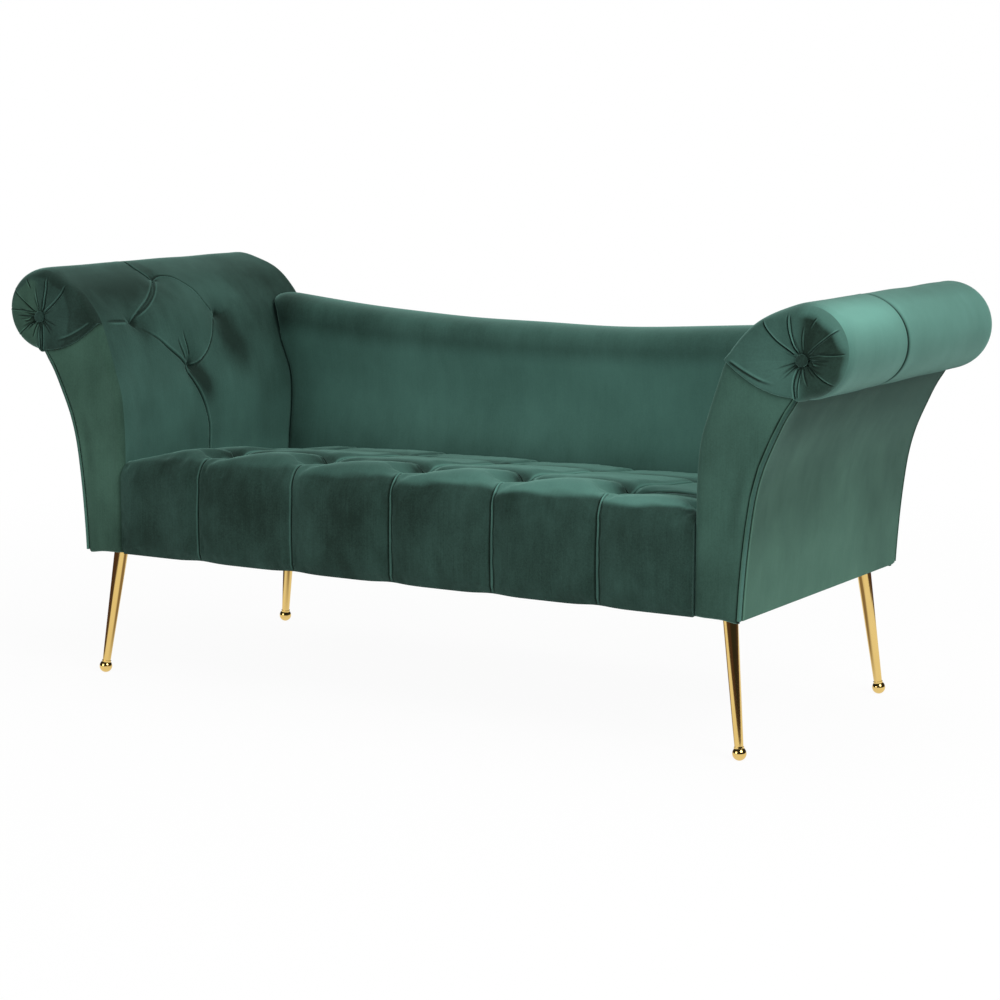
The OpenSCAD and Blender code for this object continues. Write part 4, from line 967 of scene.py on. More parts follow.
def makeScrolls(look=scroll):
    c = np.array(look["centre"])
    outline, bend = scrollOutline()
    ring = outline - c
    turn = np.unwrap(np.arctan2(ring[:, 1], ring[:, 0]))
    if turn[-1] < turn[0]:
        turn, ring, bend = turn[::-1], ring[::-1], bend[::-1]
    phi = turn[0] + np.linspace(0, 2 * np.pi, look["angles"], endpoint=False)
    turn = np.append(turn, turn[0] + 2 * np.pi)
    radius = np.interp(phi, turn, np.append(np.linalg.norm(ring, axis=1), np.linalg.norm(ring[0])))
    reach, depth, full = (np.interp(phi, turn, np.append(bend[:, k], bend[0, k])) for k in range(3))
    joint = np.clip(reach - (rim["out"] - rim["joint"]), 0, None)
    first = np.arcsin(np.clip(joint / reach, 0, 1) ** (full / 2))
    a = first + (np.pi / 2 - first) * smooth(np.linspace(0, 1, look["rimRows"]))[:, None]
    r = radius - depth * (1 - np.cos(a) ** (2 / full))
    out = rim["out"] - reach * (1 - np.sin(a) ** (2 / full))
    u = packed([0, 1], look["rows"], -0.2)[1:-1, None]
    flat = radius - depth
    r = np.vstack([r[:1], r, flat * (1 - u)])
    level = rim["out"] - look["dish"] * smooth((u - 0.30) / 0.62)
    out = np.vstack([np.full((1, len(phi)), rim["joint"] - arm["gap"]), out, level + 0 * flat])
    x, z = r * np.cos(phi) + c[0], r * np.sin(phi) + c[1]
    shading = np.zeros(r.shape)
    onFace = smooth((out - rim["joint"] - 0.004) / 0.008)
    axis = (arm["roll"][0], arm["roll"][1] - 0.0015)
    # each pleat is folded into the cloth, with a painted highlight on its lip and painted shade in its
    # groove
    for points, d, wide, lip, hand, fade in look["pleats"]:
        w, m = crease((x - axis[0]) * 1000, (z - axis[1]) * 1000, points, 0.9 * d, 0.72 * wide, 0.7 * lip,
                      hand, fade)
        out += 0.001 * w * onFace
        shading += m * onFace
    degrees, dist = np.degrees(phi)[None, :], np.hypot(x - c[0], z - c[1])
    rng = np.random.default_rng(9)
    fine = np.zeros(r.shape)
    for k in range(look["wrinkles"]):
        at = rng.uniform(225, 400) if k % 3 else rng.uniform(0, 360)
        far = rng.uniform(0.022, 0.050)
        off = (degrees - at + 180) % 360 - 180
        fine += hollow(np.radians(off) * dist, 0.0011) * smooth((far - dist) / 0.015) * rng.uniform(0.4, 1.0)
    fine *= smooth((dist - 0.006) / 0.006)
    out -= look["wrinkleDepth"] * fine
    # painted shade in the fine wrinkles
    shading -= 0.8 * fine
    out = np.maximum(out, rim["joint"] - arm["gap"])
    out -= 0.003 * hollow(dist, 0.013)
    grid = np.stack([x, -out, z], -1)
    rows, cols = r.shape
    faces = ringFaces(rows, cols)
    centre, behind = rows * cols, rows * cols + 1
    faces += [((rows - 1) * cols + j, (rows - 1) * cols + (j + 1) % cols, centre) for j in range(cols)]
    faces += [((j + 1) % cols, j, behind) for j in range(cols)]
    middles = [[c[0], -out[-1].mean(), c[1]], [c[0], -rim["joint"] + arm["gap"], c[1]]]
    points = np.vstack([grid.reshape(-1, 3), middles])
    # painted shade darkens the gathered half and the middle, a painted highlight lightens the rim, and the
    # half towards the arm's inside runs on smooth from it; the left scroll end is a darker copy painted as
    # in shade
    edge = 0.0680 + 0.0015 * np.sin(5 * phi + 1.0) + 0.001 * np.sin(11 * phi)
    side = smooth((x - c[0] + 0.010) / 0.022) * smooth((edge - dist) / 0.006)
    outer = smooth((dist - edge + 0.002) / 0.008) * smooth((x - c[0]) / 0.02 + 0.5)
    napAndShade = 0.33 - 0.27 * side - 0.16 * hollow(dist, 0.016) + 0.22 * outer
    shadedLeft = 0.08 + 0.13 * side - 0.05 * hollow(dist, 0.016) - 0.08 * smooth((dist - edge) / 0.006)
    uv = np.stack([np.radians(degrees) * 0.05 + 0 * r, r], -1)
    layers = {"right": {"napAndShade": napAndShade, "fold": shading, "warm": 0.3 * side},
              "left": {"napAndShade": shadedLeft, "fold": shading, "warm": 0.8 * side}}
    dressEnds("Scroll", points, faces, layers, uv)


# covered buttons: a domed top with the gathers of its cloth, over a straight rim
def makeButtons(look=scroll):
    wide, height = look["button"]
    dome = [(math.cos(t), 0.30 + 0.70 * math.sin(t)) for t in np.linspace(0, 1.5, 11)]
    profile, count = [(1.0, 0.0), (1.0, 0.18)] + dome, look["buttonSides"]
    t = np.arange(count) * 2 * np.pi / count
    rings = []
    for w, h in profile:
        wave = 1 + 0.02 * np.sin(9 * t) * (w > 0.6)
        level = np.full(count, -(look["buttonFace"] + height * h))
        rings.append(np.stack([wide * w * wave * np.cos(t), level, wide * w * wave * np.sin(t)], -1))
    faces = ringFaces(len(profile), count)
    last = (len(profile) - 1) * count
    faces += [tuple(last + j for j in range(count)), tuple(count - 1 - j for j in range(count))]
    one = np.vstack(rings) + np.array([look["centre"][0], 0, look["centre"][1]])
    sets = [(one * np.array([sx, sy, 1.0]), faces if sx * sy > 0 else reversedFaces(faces))
            for sx in (1, -1) for sy in (1, -1)]
    points, faces = together(sets)
    # the buttons are painted dark, as shade in the gathered middle of the scroll end
    layers = {"napAndShade": np.full(len(points), look["buttonNapAndShade"])}
    piece = newPiece("scrollButtons", points, faces, velvet, layers, points[:, [0, 2]])
    dress(piece, ["scroll_buttons"])


makeScrolls()
makeButtons()
print("scroll ends made")

# seat: channels up the front, biscuit tufts on the top

seat = {
    "edge": 0.5657, "low": 0.230, "top": 0.406, "fall": 0.033, "front": -0.315, "back": 0.1946,
    "radius": 0.038,
    "seams": [-0.394, -0.197, 0.0, 0.197, 0.394], "rows": [-0.205, 0.065],
    "crown": 0.0165, "rearCrown": 0.26, "dome": 0.028, "channel": 0.0075, "channelCut": 0.30, "tuft": 0.003,
    "seamReach": 0.022, "rowReach": 0.026, "seamCut": (0.24, 0.94, 0.45), "rowCut": 0.86, "pitReach": 0.020,
    "lean": (1.9, -0.68),      # more reach at a panel's left seam, less at its right one
    "tilt": 0.004, "middleCrown": 0.46, "panelCols": 50, "tightness": 0.80,
    "press": 2.5, "slack": 0.010, "cap": 0.0030, "simStep": 0.0105, "simCols": 18, "heldReach": 0.011,
    "hidden": (-0.3003, 0.115, 0.345),      # front, rise and top of the side that touches frame and foam
    # folds of a seam: up the front, between the rows, behind them; depth, width, lip
    "frontFold": (0.0024, 0.0016, 0.0007), "topFold": (0.0040, 0.0017, 0.0008),
    "rearFold": (0.0036, 0.0017, 0.0008), "twinFold": (0.0018, 0.0014, 0.0006),
    "rowFold": (0.0058, 0.0022, 0.0010), "hookFold": (0.0016, 0.0015, 0.0006),
    # the pit's depth and reach, and the painted shade in it: how dark and how far
    "pit": (0.004, 0.006), "pitShade": (0.9, 0.008),      # amount and reach
    "pucker": (0.034, 12, 0.0011, 60),      # reach, count, depth and seed of wrinkles
    "fan": [(0.040, 0.0026), (0.016, 0.0022), (-0.012, 0.0018)],      # pleats to the arms: rise, depth
}
seatUp = seat["top"] - seat["radius"] - seat["low"]
seatBend = seat["radius"] * np.pi / 2
seatRow = [seatUp + seatBend + y - (seat["front"] + seat["radius"]) for y in seat["rows"]]
seatEnd = seatUp + seatBend + seat["back"] - (seat["front"] + seat["radius"])
seatStops = np.array([-seat["edge"]] + seat["seams"] + [seat["edge"]])


# front, edge and top of the seat at distance r along the cover: place and direction of the swell
def seatProfile(r):
    turnY = seat["front"] + seat["radius"]
    a = np.clip((r - seatUp) / seatBend, 0, 1) * np.pi / 2
    y = turnY - seat["radius"] * np.cos(a) + np.maximum(r - seatUp - seatBend, 0)
    z = seat["low"] + np.minimum(r, seatUp) + seat["radius"] * np.sin(a)
    z = z - seat["fall"] * np.clip((y - turnY) / (seat["back"] - turnY), 0, 1)
    return y, z, a


# how far each point is from the seams at the left and right of its panel
def inPanel(x):
    k = np.searchsorted(seatStops, x.ravel(), side="right").reshape(x.shape) - 1
    k = np.clip(k, 0, len(seatStops) - 2)
    return x - seatStops[k], seatStops[k + 1] - x


# broad form of the seat, as its solid has it
def seatBase(x, r):
    y, z, a = seatProfile(r)
    toLeft, toRight = inPanel(x)
    # on the top each panel rises slowly from its left seam and falls steeply to its right one
    lean = smooth((a - 0.9) / 0.6)
    near, past = smooth((y - seat["rows"][0] + 0.070) / 0.035), smooth((y - seat["rows"][0]) / 0.012)
    leftReach = seat["seamReach"] * (1 + lean * (seat["lean"][0] * (1 - past) - 0.5 * past))
    rightReach = seat["seamReach"] * (1 + seat["lean"][1] * lean * near)
    across = toLeft / (toLeft + toRight)
    seam = np.maximum(hollow(toLeft, leftReach), hollow(toRight, rightReach))
    toRow = np.min(np.abs(y[..., None] - np.array(seat["rows"])), -1)
    steep = past * smooth((0.09 - y) / 0.12) * smooth((0.35 - across) / 0.25)
    row = hollow(toRow, seat["rowReach"] * (1 - 0.55 * steep))
    row = row * (1 - 0.80 * (1 - past) * smooth((across - 0.50) / 0.38))
    top = a / (np.pi / 2)
    fade = np.clip((z - seat["low"]) / 0.014, 0, 1)
    rear = 1 - (1 - seat["middleCrown"]) * smooth((y - seat["rows"][0] - 0.020) / 0.15)
    rear = rear - (seat["middleCrown"] - seat["rearCrown"]) * smooth((y - seat["rows"][1] + 0.01) / 0.02)
    first, most, middle = seat["seamCut"]
    cut = first + (most - first) * smooth((y + 0.302) / 0.038)
    inMiddle = smooth((y - seat["rows"][0] - 0.004) / 0.030) * smooth((seat["rows"][1] - 0.006 - y) / 0.030)
    cut = cut - (most - middle) * inMiddle
    crown = seat["crown"] * rear * (1 - cut * seam) * (1 - seat["rowCut"] * row)
    channel = seat["channel"] * (1 - seat["channelCut"] * seam) * fade
    crown = crown + seat["tilt"] * lean * (2 * smooth(toLeft / 0.16) - 1) * (1 - seam) * (1 - row) * rear
    dome = -seat["dome"] * (x / seat["edge"]) ** 6
    pits = np.zeros(x.shape)
    for s in seat["seams"]:
        for q in seat["rows"]:
            pits = np.maximum(pits, hollow(np.hypot(x - s, y - q), seat["pitReach"]))
    swell = (1 - top) * channel + top * (crown + dome - seat["tuft"] * pits)
    return y, z, a, swell, top


def seatSwell(x, r):
    y, z, a, swell, top = seatBase(x, r)
    # painted highlight on the lips of the folds, painted shade in their grooves and in the tufts' pits
    shading = np.zeros(x.shape)
    more = 0.0010 * drift(x, r, 0.17, 31) * smooth(r / 0.05)
    first, second = seatRow
    deep, deepReach = seat["pit"]
    dark, darkReach = seat["pitShade"]
    *wrinkles, seed = seat["pucker"]
    for k, s in enumerate(seat["seams"]):
        hand = 1 if k < 2 else -1
        up = [(s, 0.0), (s - 0.001, 0.08), (s, seatUp), (s, seatUp + seatBend), (s, first)]
        lines = [      # points, form, side of the lip, fades
            (up, seat["frontFold"], hand, (0.03, 0)),
            ([(s, first), (s, 0.5 * (first + second)), (s, second)], seat["topFold"], 1, (0, 0)),
            ([(s, second), (s + 0.002, second + 0.06), (s, seatEnd)], seat["rearFold"], 1, (0, 0)),
        ]
        if k >= 2:      # these seams show as two close folds
            twin = [(s + 0.007, 0.0), (s + 0.0065, 0.08), (s + 0.006, seatUp),
                    (s + 0.005, seatUp + seatBend), (s + 0.001, first)]
            lines.append((twin, seat["twinFold"], 1, (0.05, 0)))
        for q, (points, form, side, fade) in enumerate(lines):
            w, m = crease(x, r, points, *form, side, fade)
            more, shading = more + w, shading + m * (1.8 if q in (1, 2) else 1.0)
        for q, row in enumerate(seatRow):
            more -= deep * hollow(np.hypot(x - s, r - row), deepReach)
            shading -= dark * hollow(np.hypot(x - s, r - row), darkReach)
            more += pucker(x, r, (s, row), *wrinkles, seed + 10 * k + q)
            # a short fold hooks up from the tuft over the end of the panel on its left
            hook = [(s, row), (s - 0.005, row - 0.001), (s - 0.014, row - 0.006)]
            w, m = crease(x, r, hook, *seat["hookFold"], -1, (0, 0.4))
            more, shading = more + w, shading + 2.0 * m
    for row in seatRow:
        for k, (s, e) in enumerate(zip(seatStops[:-1], seatStops[1:])):
            bow = 0.005 if k % 2 else -0.004
            line = [(s, row), (0.75 * s + 0.25 * e, row + bow), ((s + e) / 2, row + 0.4 * bow),
                    (0.25 * s + 0.75 * e, row - 0.6 * bow), (e, row)]
            w, m = crease(x, r, line, *seat["rowFold"], -1)
            more, shading = more + w, shading + 1.8 * m
    for sx in (-1, 1):      # pleats that fan out to the arms from the end tufts
        for dy, depth in seat["fan"]:
            line = [(sx * 0.408, first + 0.1 * dy), (sx * 0.47, first + 0.6 * dy), (sx * 0.562, first + dy)]
            w, m = crease(x, r, line, depth, 0.0026, 0.0014, 1, (0.25, 0.1))
            more, shading = more + w, shading + m
    return y, z, a, swell + more, shading, top


# painted light on the top, growing towards the right where the light falls, and painted shade behind rows,
# beside seams and at tufts
seatLightAndShade = {      # least amount, at the left, and how much more there is at the right
    "top": (0.12, 0.54), "behindRow": (0.14, 0.40), "besideSeam": (0.10, 0.26), "atTuft": (0.10, 0.40),
}


# painted light and shade: dark front, top painted bright towards the right where the light falls, with a
# ragged border between, and painted shade behind each row and beside each tuft
def seatNapAndShade(x, r, top):
    lit = smooth((x + 0.35) / 0.75)
    tone = {key: least + more * lit for key, (least, more) in seatLightAndShade.items()}
    toLeft, toRight = inPanel(x)
    across = toLeft / (toLeft + toRight)
    border = 0.38 + 0.14 * smooth(across) + 0.05 * drift(x, 4 * r, 0.07, 33) + 0.05 * drift(x, r, 0.22, 34)
    napAndShade = 0.08 + 0.02 * smooth(x / 0.4) + tone["top"] * smooth((top - border) / 0.20)
    napAndShade = napAndShade + 0.030 * drift(x, r, 0.16, 35)
    for row in seatRow:
        behind = np.maximum(r - row - 0.018 * smooth(across / 0.5), 0)
        lee = smooth((r - row + 0.044 - 0.030 * smooth((across - 0.5) / 0.4)) / 0.008)
        napAndShade = napAndShade - tone["behindRow"] * hollow(behind, 0.014) * lee
        napAndShade = napAndShade - tone["besideSeam"] * hollow(r - row + 0.022, 0.022) * hollow(toRight - 0.010, 0.016)
        napAndShade = napAndShade - tone["atTuft"] * hollow(r - row + 0.012, 0.016) * smooth((0.010 - toRight) / 0.005)
    return napAndShade


def seatPoint(x, y, z, a, d):
    return np.stack([x, y - d * np.cos(a), z + d * np.sin(a)], -1)


def makeSeat(look=seat):
    first, second = seatRow
    cols = packed(seatStops, look["panelCols"], look["tightness"])
    rows = spread([(0, 0), (seatUp, 0.0044), (seatUp + seatBend, 0.0026), (first - 0.014, 0.0024),
                   (first + 0.014, 0.0012), (first + 0.05, 0.0022), (second - 0.05, 0.0036),
                   (second - 0.014, 0.0024), (second + 0.014, 0.0013), (second + 0.04, 0.0024),
                   (seatEnd, 0.0036)])
    r, x = np.meshgrid(rows, cols, indexing="ij")
    y, z, a, swell, shading, top = seatSwell(x, r)
    points = seatPoint(x, y, z, a, swell)
    # the underside's edge is drawn up a little between the seams
    toSeam = np.min(np.abs(x[..., None] - np.array(look["seams"])), -1)
    points[..., 2] -= 0.0016 * smooth(1 - r / 0.02) * (1 - 1.6 * hollow(toSeam, 0.03))
    simRows = np.unique(np.concatenate([spread([(0, 0), (seatEnd, look["simStep"])]), seatRow]))
    simCols = packed(seatStops, look["simCols"], 0.2)
    sr, sx = np.meshgrid(simRows, simCols, indexing="ij")
    sheet = seatPoint(sx, *seatBase(sx, sr)[:4])
    held = np.zeros(sr.shape)
    held[[0, -1]] = 1
    held[:, [0, -1]] = 1
    for s in look["seams"]:
        held[(np.abs(sx - s) < 0.001) & (sr < seatRow[0] + 0.001)] = 1
        for row in seatRow:
            held[np.hypot(sx - s, sr - row) < look["heldReach"]] = 1
    moved = clothPuff("seatSheet", sheet, held, look["press"], look["slack"], look["cap"])
    points = points + resampled(resampled(moved, simRows, rows, 0), simCols, cols, 1)
    # hidden side: down behind the front rail's padding and along the top of the foam
    front, rise, level = look["hidden"]
    fore = 0.6 * seatUp + seatBend
    flatY = np.where(r < fore, front, np.interp(r, [fore, seatEnd], [front, look["back"]]))
    flatZ = np.where(r < fore, look["low"] + rise * r / fore, level)
    hidden = np.stack([x, flatY, flatZ], -1)
    skin, faces = closedSkin(points, hidden, 12)
    layers = {"napAndShade": seatNapAndShade(x, r, top), "fold": shading}
    piece = newPiece("seatCushion", skin, faces, velvet, layers, np.stack([x, r], -1))
    dress(piece, ["seat_cover"])


makeSeat()
print("seat made")

# back: one smooth bowed pad, and the panel behind it

backPad = {
    "low": 0.345, "crest": 0.625, "gain": 0.036, "halfDepth": 0.317, "thickness": 0.112, "play": 0.0015,
    "section": [(1.08, 0), (1.02, .15), (.93, .35), (.9, .5), (.93, .65), (.99, .8), (1.01, .88), (.97, .94),
                (.88, .975), (.72, .995), (.46, 1), (.2, .985), (.045, .95), (0, .9)],
    "rowStep": 0.0042, "colStep": 0.0060, "cornerReach": 0.034, "cornerDepth": 0.024, "cornerDrop": 0.012,
    "cornerFrom": (0.565, 0.07), "drape": 0.0014,
    "hidden": (0.040, 0.0117, 0.024),      # how far the hidden side stands behind, from the panel, and lower
    "panel": (0.3170, 0.3053, 0.005), "panelRows": 90, "panelDrape": 0.0010,      # outside, inside, edge
}


def insideAt(z):
    return np.interp(z, insideLine[:, 1], insideLine[:, 0])


def makeBack(look=backPad):
    u = np.sin(np.linspace(-1, 1, int(2 * 0.60 / look["colStep"])) * 1.25) / np.sin(1.25)
    crest = look["crest"] + look["gain"] * u ** 2
    shape = curveThrough(look["section"], 12)
    height = look["crest"] - look["low"]
    line = np.stack([-shape[:, 0] * look["thickness"], shape[:, 1] * height], -1)
    along = lengthAlong(line)
    s = np.linspace(0, along[-1], int(along[-1] / look["rowStep"]))
    shareY, shareZ = np.interp(s, along, shape[:, 0]), np.interp(s, along, shape[:, 1])
    y = look["halfDepth"] - shareY[:, None] * look["thickness"] + 0 * u
    z = look["low"] + shareZ[:, None] * (crest - look["low"])
    x = u * (insideAt(z) - look["play"])
    # the upper corners beside the arms are rounded off
    end = np.clip(1 - (1 - np.abs(u)) * 0.6 / look["cornerReach"], 0, 1)
    start, grow = look["cornerFrom"]
    upper = smooth((z - start) / grow) * smooth((0.30 - y) / 0.05 + 0.4)
    y = y + look["cornerDepth"] * (1 - np.sqrt(1 - end ** 2)) * upper
    z = z - look["cornerDrop"] * (1 - np.sqrt(1 - end ** 2)) * smooth((shareZ[:, None] - 0.9) / 0.1)
    base = np.stack([x, y, z], -1)
    out = sideways(base)
    run = s[:, None] + 0 * u
    lift = look["drape"] * drift(x, run, 0.26, 77) * smooth(run / 0.03) * smooth((1 - np.abs(u)) / 0.05)
    lift = lift * smooth((along[-1] - run) / 0.06)
    # painted shade at both ends, where the back meets the arms
    shading = 0 * x - 0.35 * smooth((np.abs(u) - 0.985) / 0.015)
    points = base + out * lift[..., None]
    behind, fromPanel, lower = look["hidden"]
    inner = base.copy()
    inner[..., 1] = np.minimum(look["halfDepth"] - shareY[:, None] * look["thickness"] + behind,
                               look["halfDepth"] - fromPanel)
    inner[..., 2] = np.minimum(z, crest - lower)
    skin, faces = closedSkin(points, inner, 12)
    # lighter towards the right, where the light falls, with painted shade low down by the seat, at the left
    # end beside the arm and near the top
    napAndShade = 0.55 + 0.12 * smooth((x + 0.5) / 1.0) + 0.03 * drift(x, run, 0.3, 79)
    napAndShade = napAndShade - 0.20 * hollow(run - 0.02, 0.06) - 0.20 * hollow(x + 0.575, 0.04)
    napAndShade = napAndShade - 0.28 * smooth((run - 0.205) / 0.04) * smooth((0.33 - run) / 0.03)
    piece = newPiece("backCushion", skin, faces, velvet, {"napAndShade": napAndShade, "fold": shading}, np.stack([x, run], -1))
    dress(piece, ["back_cover"])
    makeBackPanel(u, crest)


# the panel behind the back
def makeBackPanel(u, crest, look=backPad):
    outer, inner, turn = look["panel"]
    v = np.linspace(0, 1, look["panelRows"])
    topZ = look["low"] + look["section"][-1][1] * (crest - look["low"]) - arm["gap"]
    z = arm["low"] + v[:, None] * (topZ - arm["low"])
    x = u * (insideAt(np.maximum(z, look["low"])) - look["play"])
    edge = np.minimum(np.minimum((1 - np.abs(u)) * 0.56 + 0 * z, v[:, None] * 0.37), (1 - v)[:, None] * 0.37)
    y = outer - turn * (1 - smooth(edge / 0.008))
    y = y + look["panelDrape"] * drift(x, z, 0.25, 91) * smooth(edge / 0.04)
    points = np.stack([x, y, z], -1)[:, ::-1]
    hidden = np.stack([x, np.full(x.shape, inner), z], -1)[:, ::-1]
    skin, faces = closedSkin(points, hidden, 10)
    layers = {"napAndShade": 0.34 + 0.03 * drift(x, z, 0.2, 93)[:, ::-1]}
    piece = newPiece("backPanel", skin, faces, velvet, layers, np.stack([x, z], -1)[:, ::-1])
    dress(piece, ["back_outer_cover"])


makeBack()
print("back made")

# soft pieces inside: foam, spring cloth, webbing and the dust cover

inside = {
    "foamEdge": 0.003, "foamSteps": 3, "merge": 1e-5,
    "dust": {"x": 0.6397, "front": -0.300, "back": 0.3047, "top": 0.2319, "thick": 0.0009,
             "plate": (0.5770, 0.2260), "hem": 0.012, "hemRise": 0.0007, "sag": 0.0020, "sagReach": 0.10,
             "step": 0.0085,
             "wave": (0.0003, 0.045)},      # height and length of the waves between the staples
}


# a piece from the frame's own form; where asked, its edges are softened
def fromNode(name, node, finish, edge=0.0):
    mesh = bpy.data.meshes.new(name)
    work = bmesh.new()
    work.from_mesh(frame["nodes"][node].data)
    bmesh.ops.remove_doubles(work, verts=work.verts, dist=inside["merge"])
    if edge > 0:
        bmesh.ops.dissolve_limit(work, angle_limit=math.radians(0.5), verts=work.verts, edges=work.edges)
        sharp = [e for e in work.edges if len(e.link_faces) == 2 and e.calc_face_angle() > 0.6]
        bmesh.ops.bevel(work, geom=sharp, offset=edge, segments=inside["foamSteps"], affect="EDGES",
                        profile=0.5)
    work.to_mesh(mesh)
    work.free()
    mesh.materials.clear()
    mesh.materials.append(plain[finish])
    return linked(name, mesh)


def makeFoam(name, node):
    dress(fromNode(name, node, "foam", inside["foamEdge"]), [node])


# cloth stretched flat inside the couch
def makeCloth(name, node):
    piece = fromNode(name, node, "black_cloth")
    dress(piece, [node])


# thin black cloth under the frame, its edges turned in and drawn tight by the staples
def makeDustCover(look=inside["dust"]):
    xs = spread([(-look["x"], 0), (look["x"], look["step"])])
    ys = spread([(look["front"], 0), (look["back"], look["step"])])
    # the lines next to the leg plates are moved onto their edges
    for places, edge in ((xs, look["plate"][0]), (ys, look["plate"][1])):
        close = np.abs(np.abs(places) - edge) < look["step"] * 0.5
        places[close] = np.sign(places[close]) * edge
    x, y = np.meshgrid(xs, ys, indexing="ij")
    fromSide = look["x"] - np.abs(x)
    toEdge = np.minimum(fromSide, np.minimum(y - look["front"], look["back"] - y))
    cutOut = (np.abs(x) > look["plate"][0] - 1e-6) & (np.abs(y) > look["plate"][1] - 1e-6)
    height, length = look["wave"]
    wave = np.cos(2 * np.pi * np.where(toEdge == fromSide, y, x) / length) * hollow(toEdge, 0.03)
    sag = look["sag"] * smooth(toEdge / look["sagReach"]) * (0.7 + 0.3 * drift(x, y, 0.25, 51))
    z = look["top"] - look["thick"] - sag
    z -= look["hemRise"] * (toEdge < look["hem"])
    z += height * wave * (toEdge > look["hem"])
    low = np.stack([x, y, z], -1)
    high = low + np.array([0, 0, look["thick"]])
    high[..., 2] = np.minimum(high[..., 2], look["top"])
    rows, cols = x.shape
    solid = ~(cutOut[:-1, :-1] & cutOut[1:, 1:] & cutOut[:-1, 1:] & cutOut[1:, :-1])
    far, faces = rows * cols, []
    for i, j in np.argwhere(solid).tolist():
        a, b, c, d = i * cols + j, (i + 1) * cols + j, (i + 1) * cols + j + 1, i * cols + j + 1
        faces += [(a, d, c, b), (far + a, far + b, far + c, far + d)]
        beside = ((i, j - 1), (i + 1, j), (i, j + 1), (i - 1, j))
        for (p, q), (u, v) in zip(((a, b), (b, c), (c, d), (d, a)), beside):
            if not (0 <= u < rows - 1 and 0 <= v < cols - 1 and solid[u, v]):
                faces.append((p, q, far + q, far + p))
    points = np.vstack([low.reshape(-1, 3), high.reshape(-1, 3)])
    used = sorted({q for f in faces for q in f})
    at = {q: k for k, q in enumerate(used)}
    faces = [tuple(at[q] for q in f) for f in faces]
    piece = newPiece("dustCover", points[used], faces, plain["black_cloth"])
    dress(piece, ["dust_cover"])


makeFoam("seatFoam", "seat_foam")
makeFoam("backFoam", "back_foam")
makeCloth("springCloth", "spring_cloth")
makeCloth("backWebbing", "back_webbing")
makeDustCover()
print("foam and cloths made")

# small things set along a path: stitches of the twin seams, staples of the dust cover


def makeAlongPath():
    tree = bpy.data.node_groups.new("alongPath", "GeometryNodeTree")
    for label, kind in (("Geometry", "Geometry"), ("item", "Object"), ("spacing", "Float"),
                        ("unevenness", "Float"), ("seed", "Int"), ("finish", "Material")):
        tree.interface.new_socket(label, in_out="INPUT", socket_type="NodeSocket" + kind)
    tree.interface.new_socket("Geometry", in_out="OUTPUT", socket_type="NodeSocketGeometry")
    gin, gout = tree.nodes.new("NodeGroupInput"), tree.nodes.new("NodeGroupOutput")
    line = plug(tree, "GeometryNodeMeshToCurve", None, i0=gin.outputs["Geometry"])
    spots = plug(tree, "GeometryNodeCurveToPoints", {"mode": "LENGTH"}, Curve=line.outputs[0],
                 Length=gin.outputs["spacing"])
    lean = plug(tree, "GeometryNodeInputNamedAttribute", {"data_type": "FLOAT_VECTOR"}, Name="lean")
    along = plug(tree, "FunctionNodeAlignRotationToVector", {"axis": "X"}, Vector=spots.outputs["Tangent"])
    upright = plug(tree, "FunctionNodeAlignRotationToVector", {"axis": "Z", "pivot_axis": "X"},
                   Rotation=along.outputs[0], Vector=lean.outputs[0])
    least = maths(tree, "SUBTRACT", 1.0, gin.outputs["unevenness"])
    size = plug(tree, "FunctionNodeRandomValue", {"data_type": "FLOAT"}, Seed=gin.outputs["seed"], i2=least,
                i3=1.0)
    item = plug(tree, "GeometryNodeObjectInfo", None, Object=gin.outputs["item"])
    copies = plug(tree, "GeometryNodeInstanceOnPoints", None, Points=spots.outputs["Points"],
                  Instance=item.outputs["Geometry"], Rotation=upright.outputs[0], Scale=size.outputs[1])
    real = plug(tree, "GeometryNodeRealizeInstances", None, i0=copies.outputs[0])
    coated = plug(tree, "GeometryNodeSetMaterial", None, Geometry=real.outputs[0],
                  Material=gin.outputs["finish"])
    tree.links.new(coated.outputs[0], gout.inputs[0])
    return tree


alongPath = makeAlongPath()


# repeats a small mesh along paths; each path is its points and the directions they lean in
def setAlong(name, paths, item, finish, look):
    points, edges, leans = [], [], []
    for line, lean in paths:
        base = len(points)
        points += [tuple(p) for p in line]
        leans += [tuple(v) for v in lean]
        edges += [(base + k, base + k + 1) for k in range(len(line) - 1)]
    mesh = bpy.data.meshes.new(name + "Path")
    mesh.from_pydata(points, edges, [])
    leanLayer = mesh.attributes.new("lean", "FLOAT_VECTOR", "POINT")
    leanLayer.data.foreach_set("vector", np.array(leans, np.float32).ravel())
    carrier = linked(name + "Path", mesh)
    itemMesh = bpy.data.meshes.new(name + "Item")
    itemMesh.from_pydata(*item)
    pattern = linked(name + "Item", itemMesh)
    modifier = carrier.modifiers.new("alongPath", "NODES")
    modifier.node_group = alongPath
    keys = {s.name: s.identifier for s in alongPath.interface.items_tree if s.in_out == "INPUT"}
    modifier[keys["item"]], modifier[keys["finish"]] = pattern, finish
    for label in ("spacing", "unevenness", "seed"):
        modifier[keys[label]] = look[label]
    made = bpy.data.meshes.new_from_object(carrier.evaluated_get(bpy.context.evaluated_depsgraph_get()))
    bpy.data.objects.remove(carrier)
    bpy.data.objects.remove(pattern)
    made.name = name
    return linked(name, made)


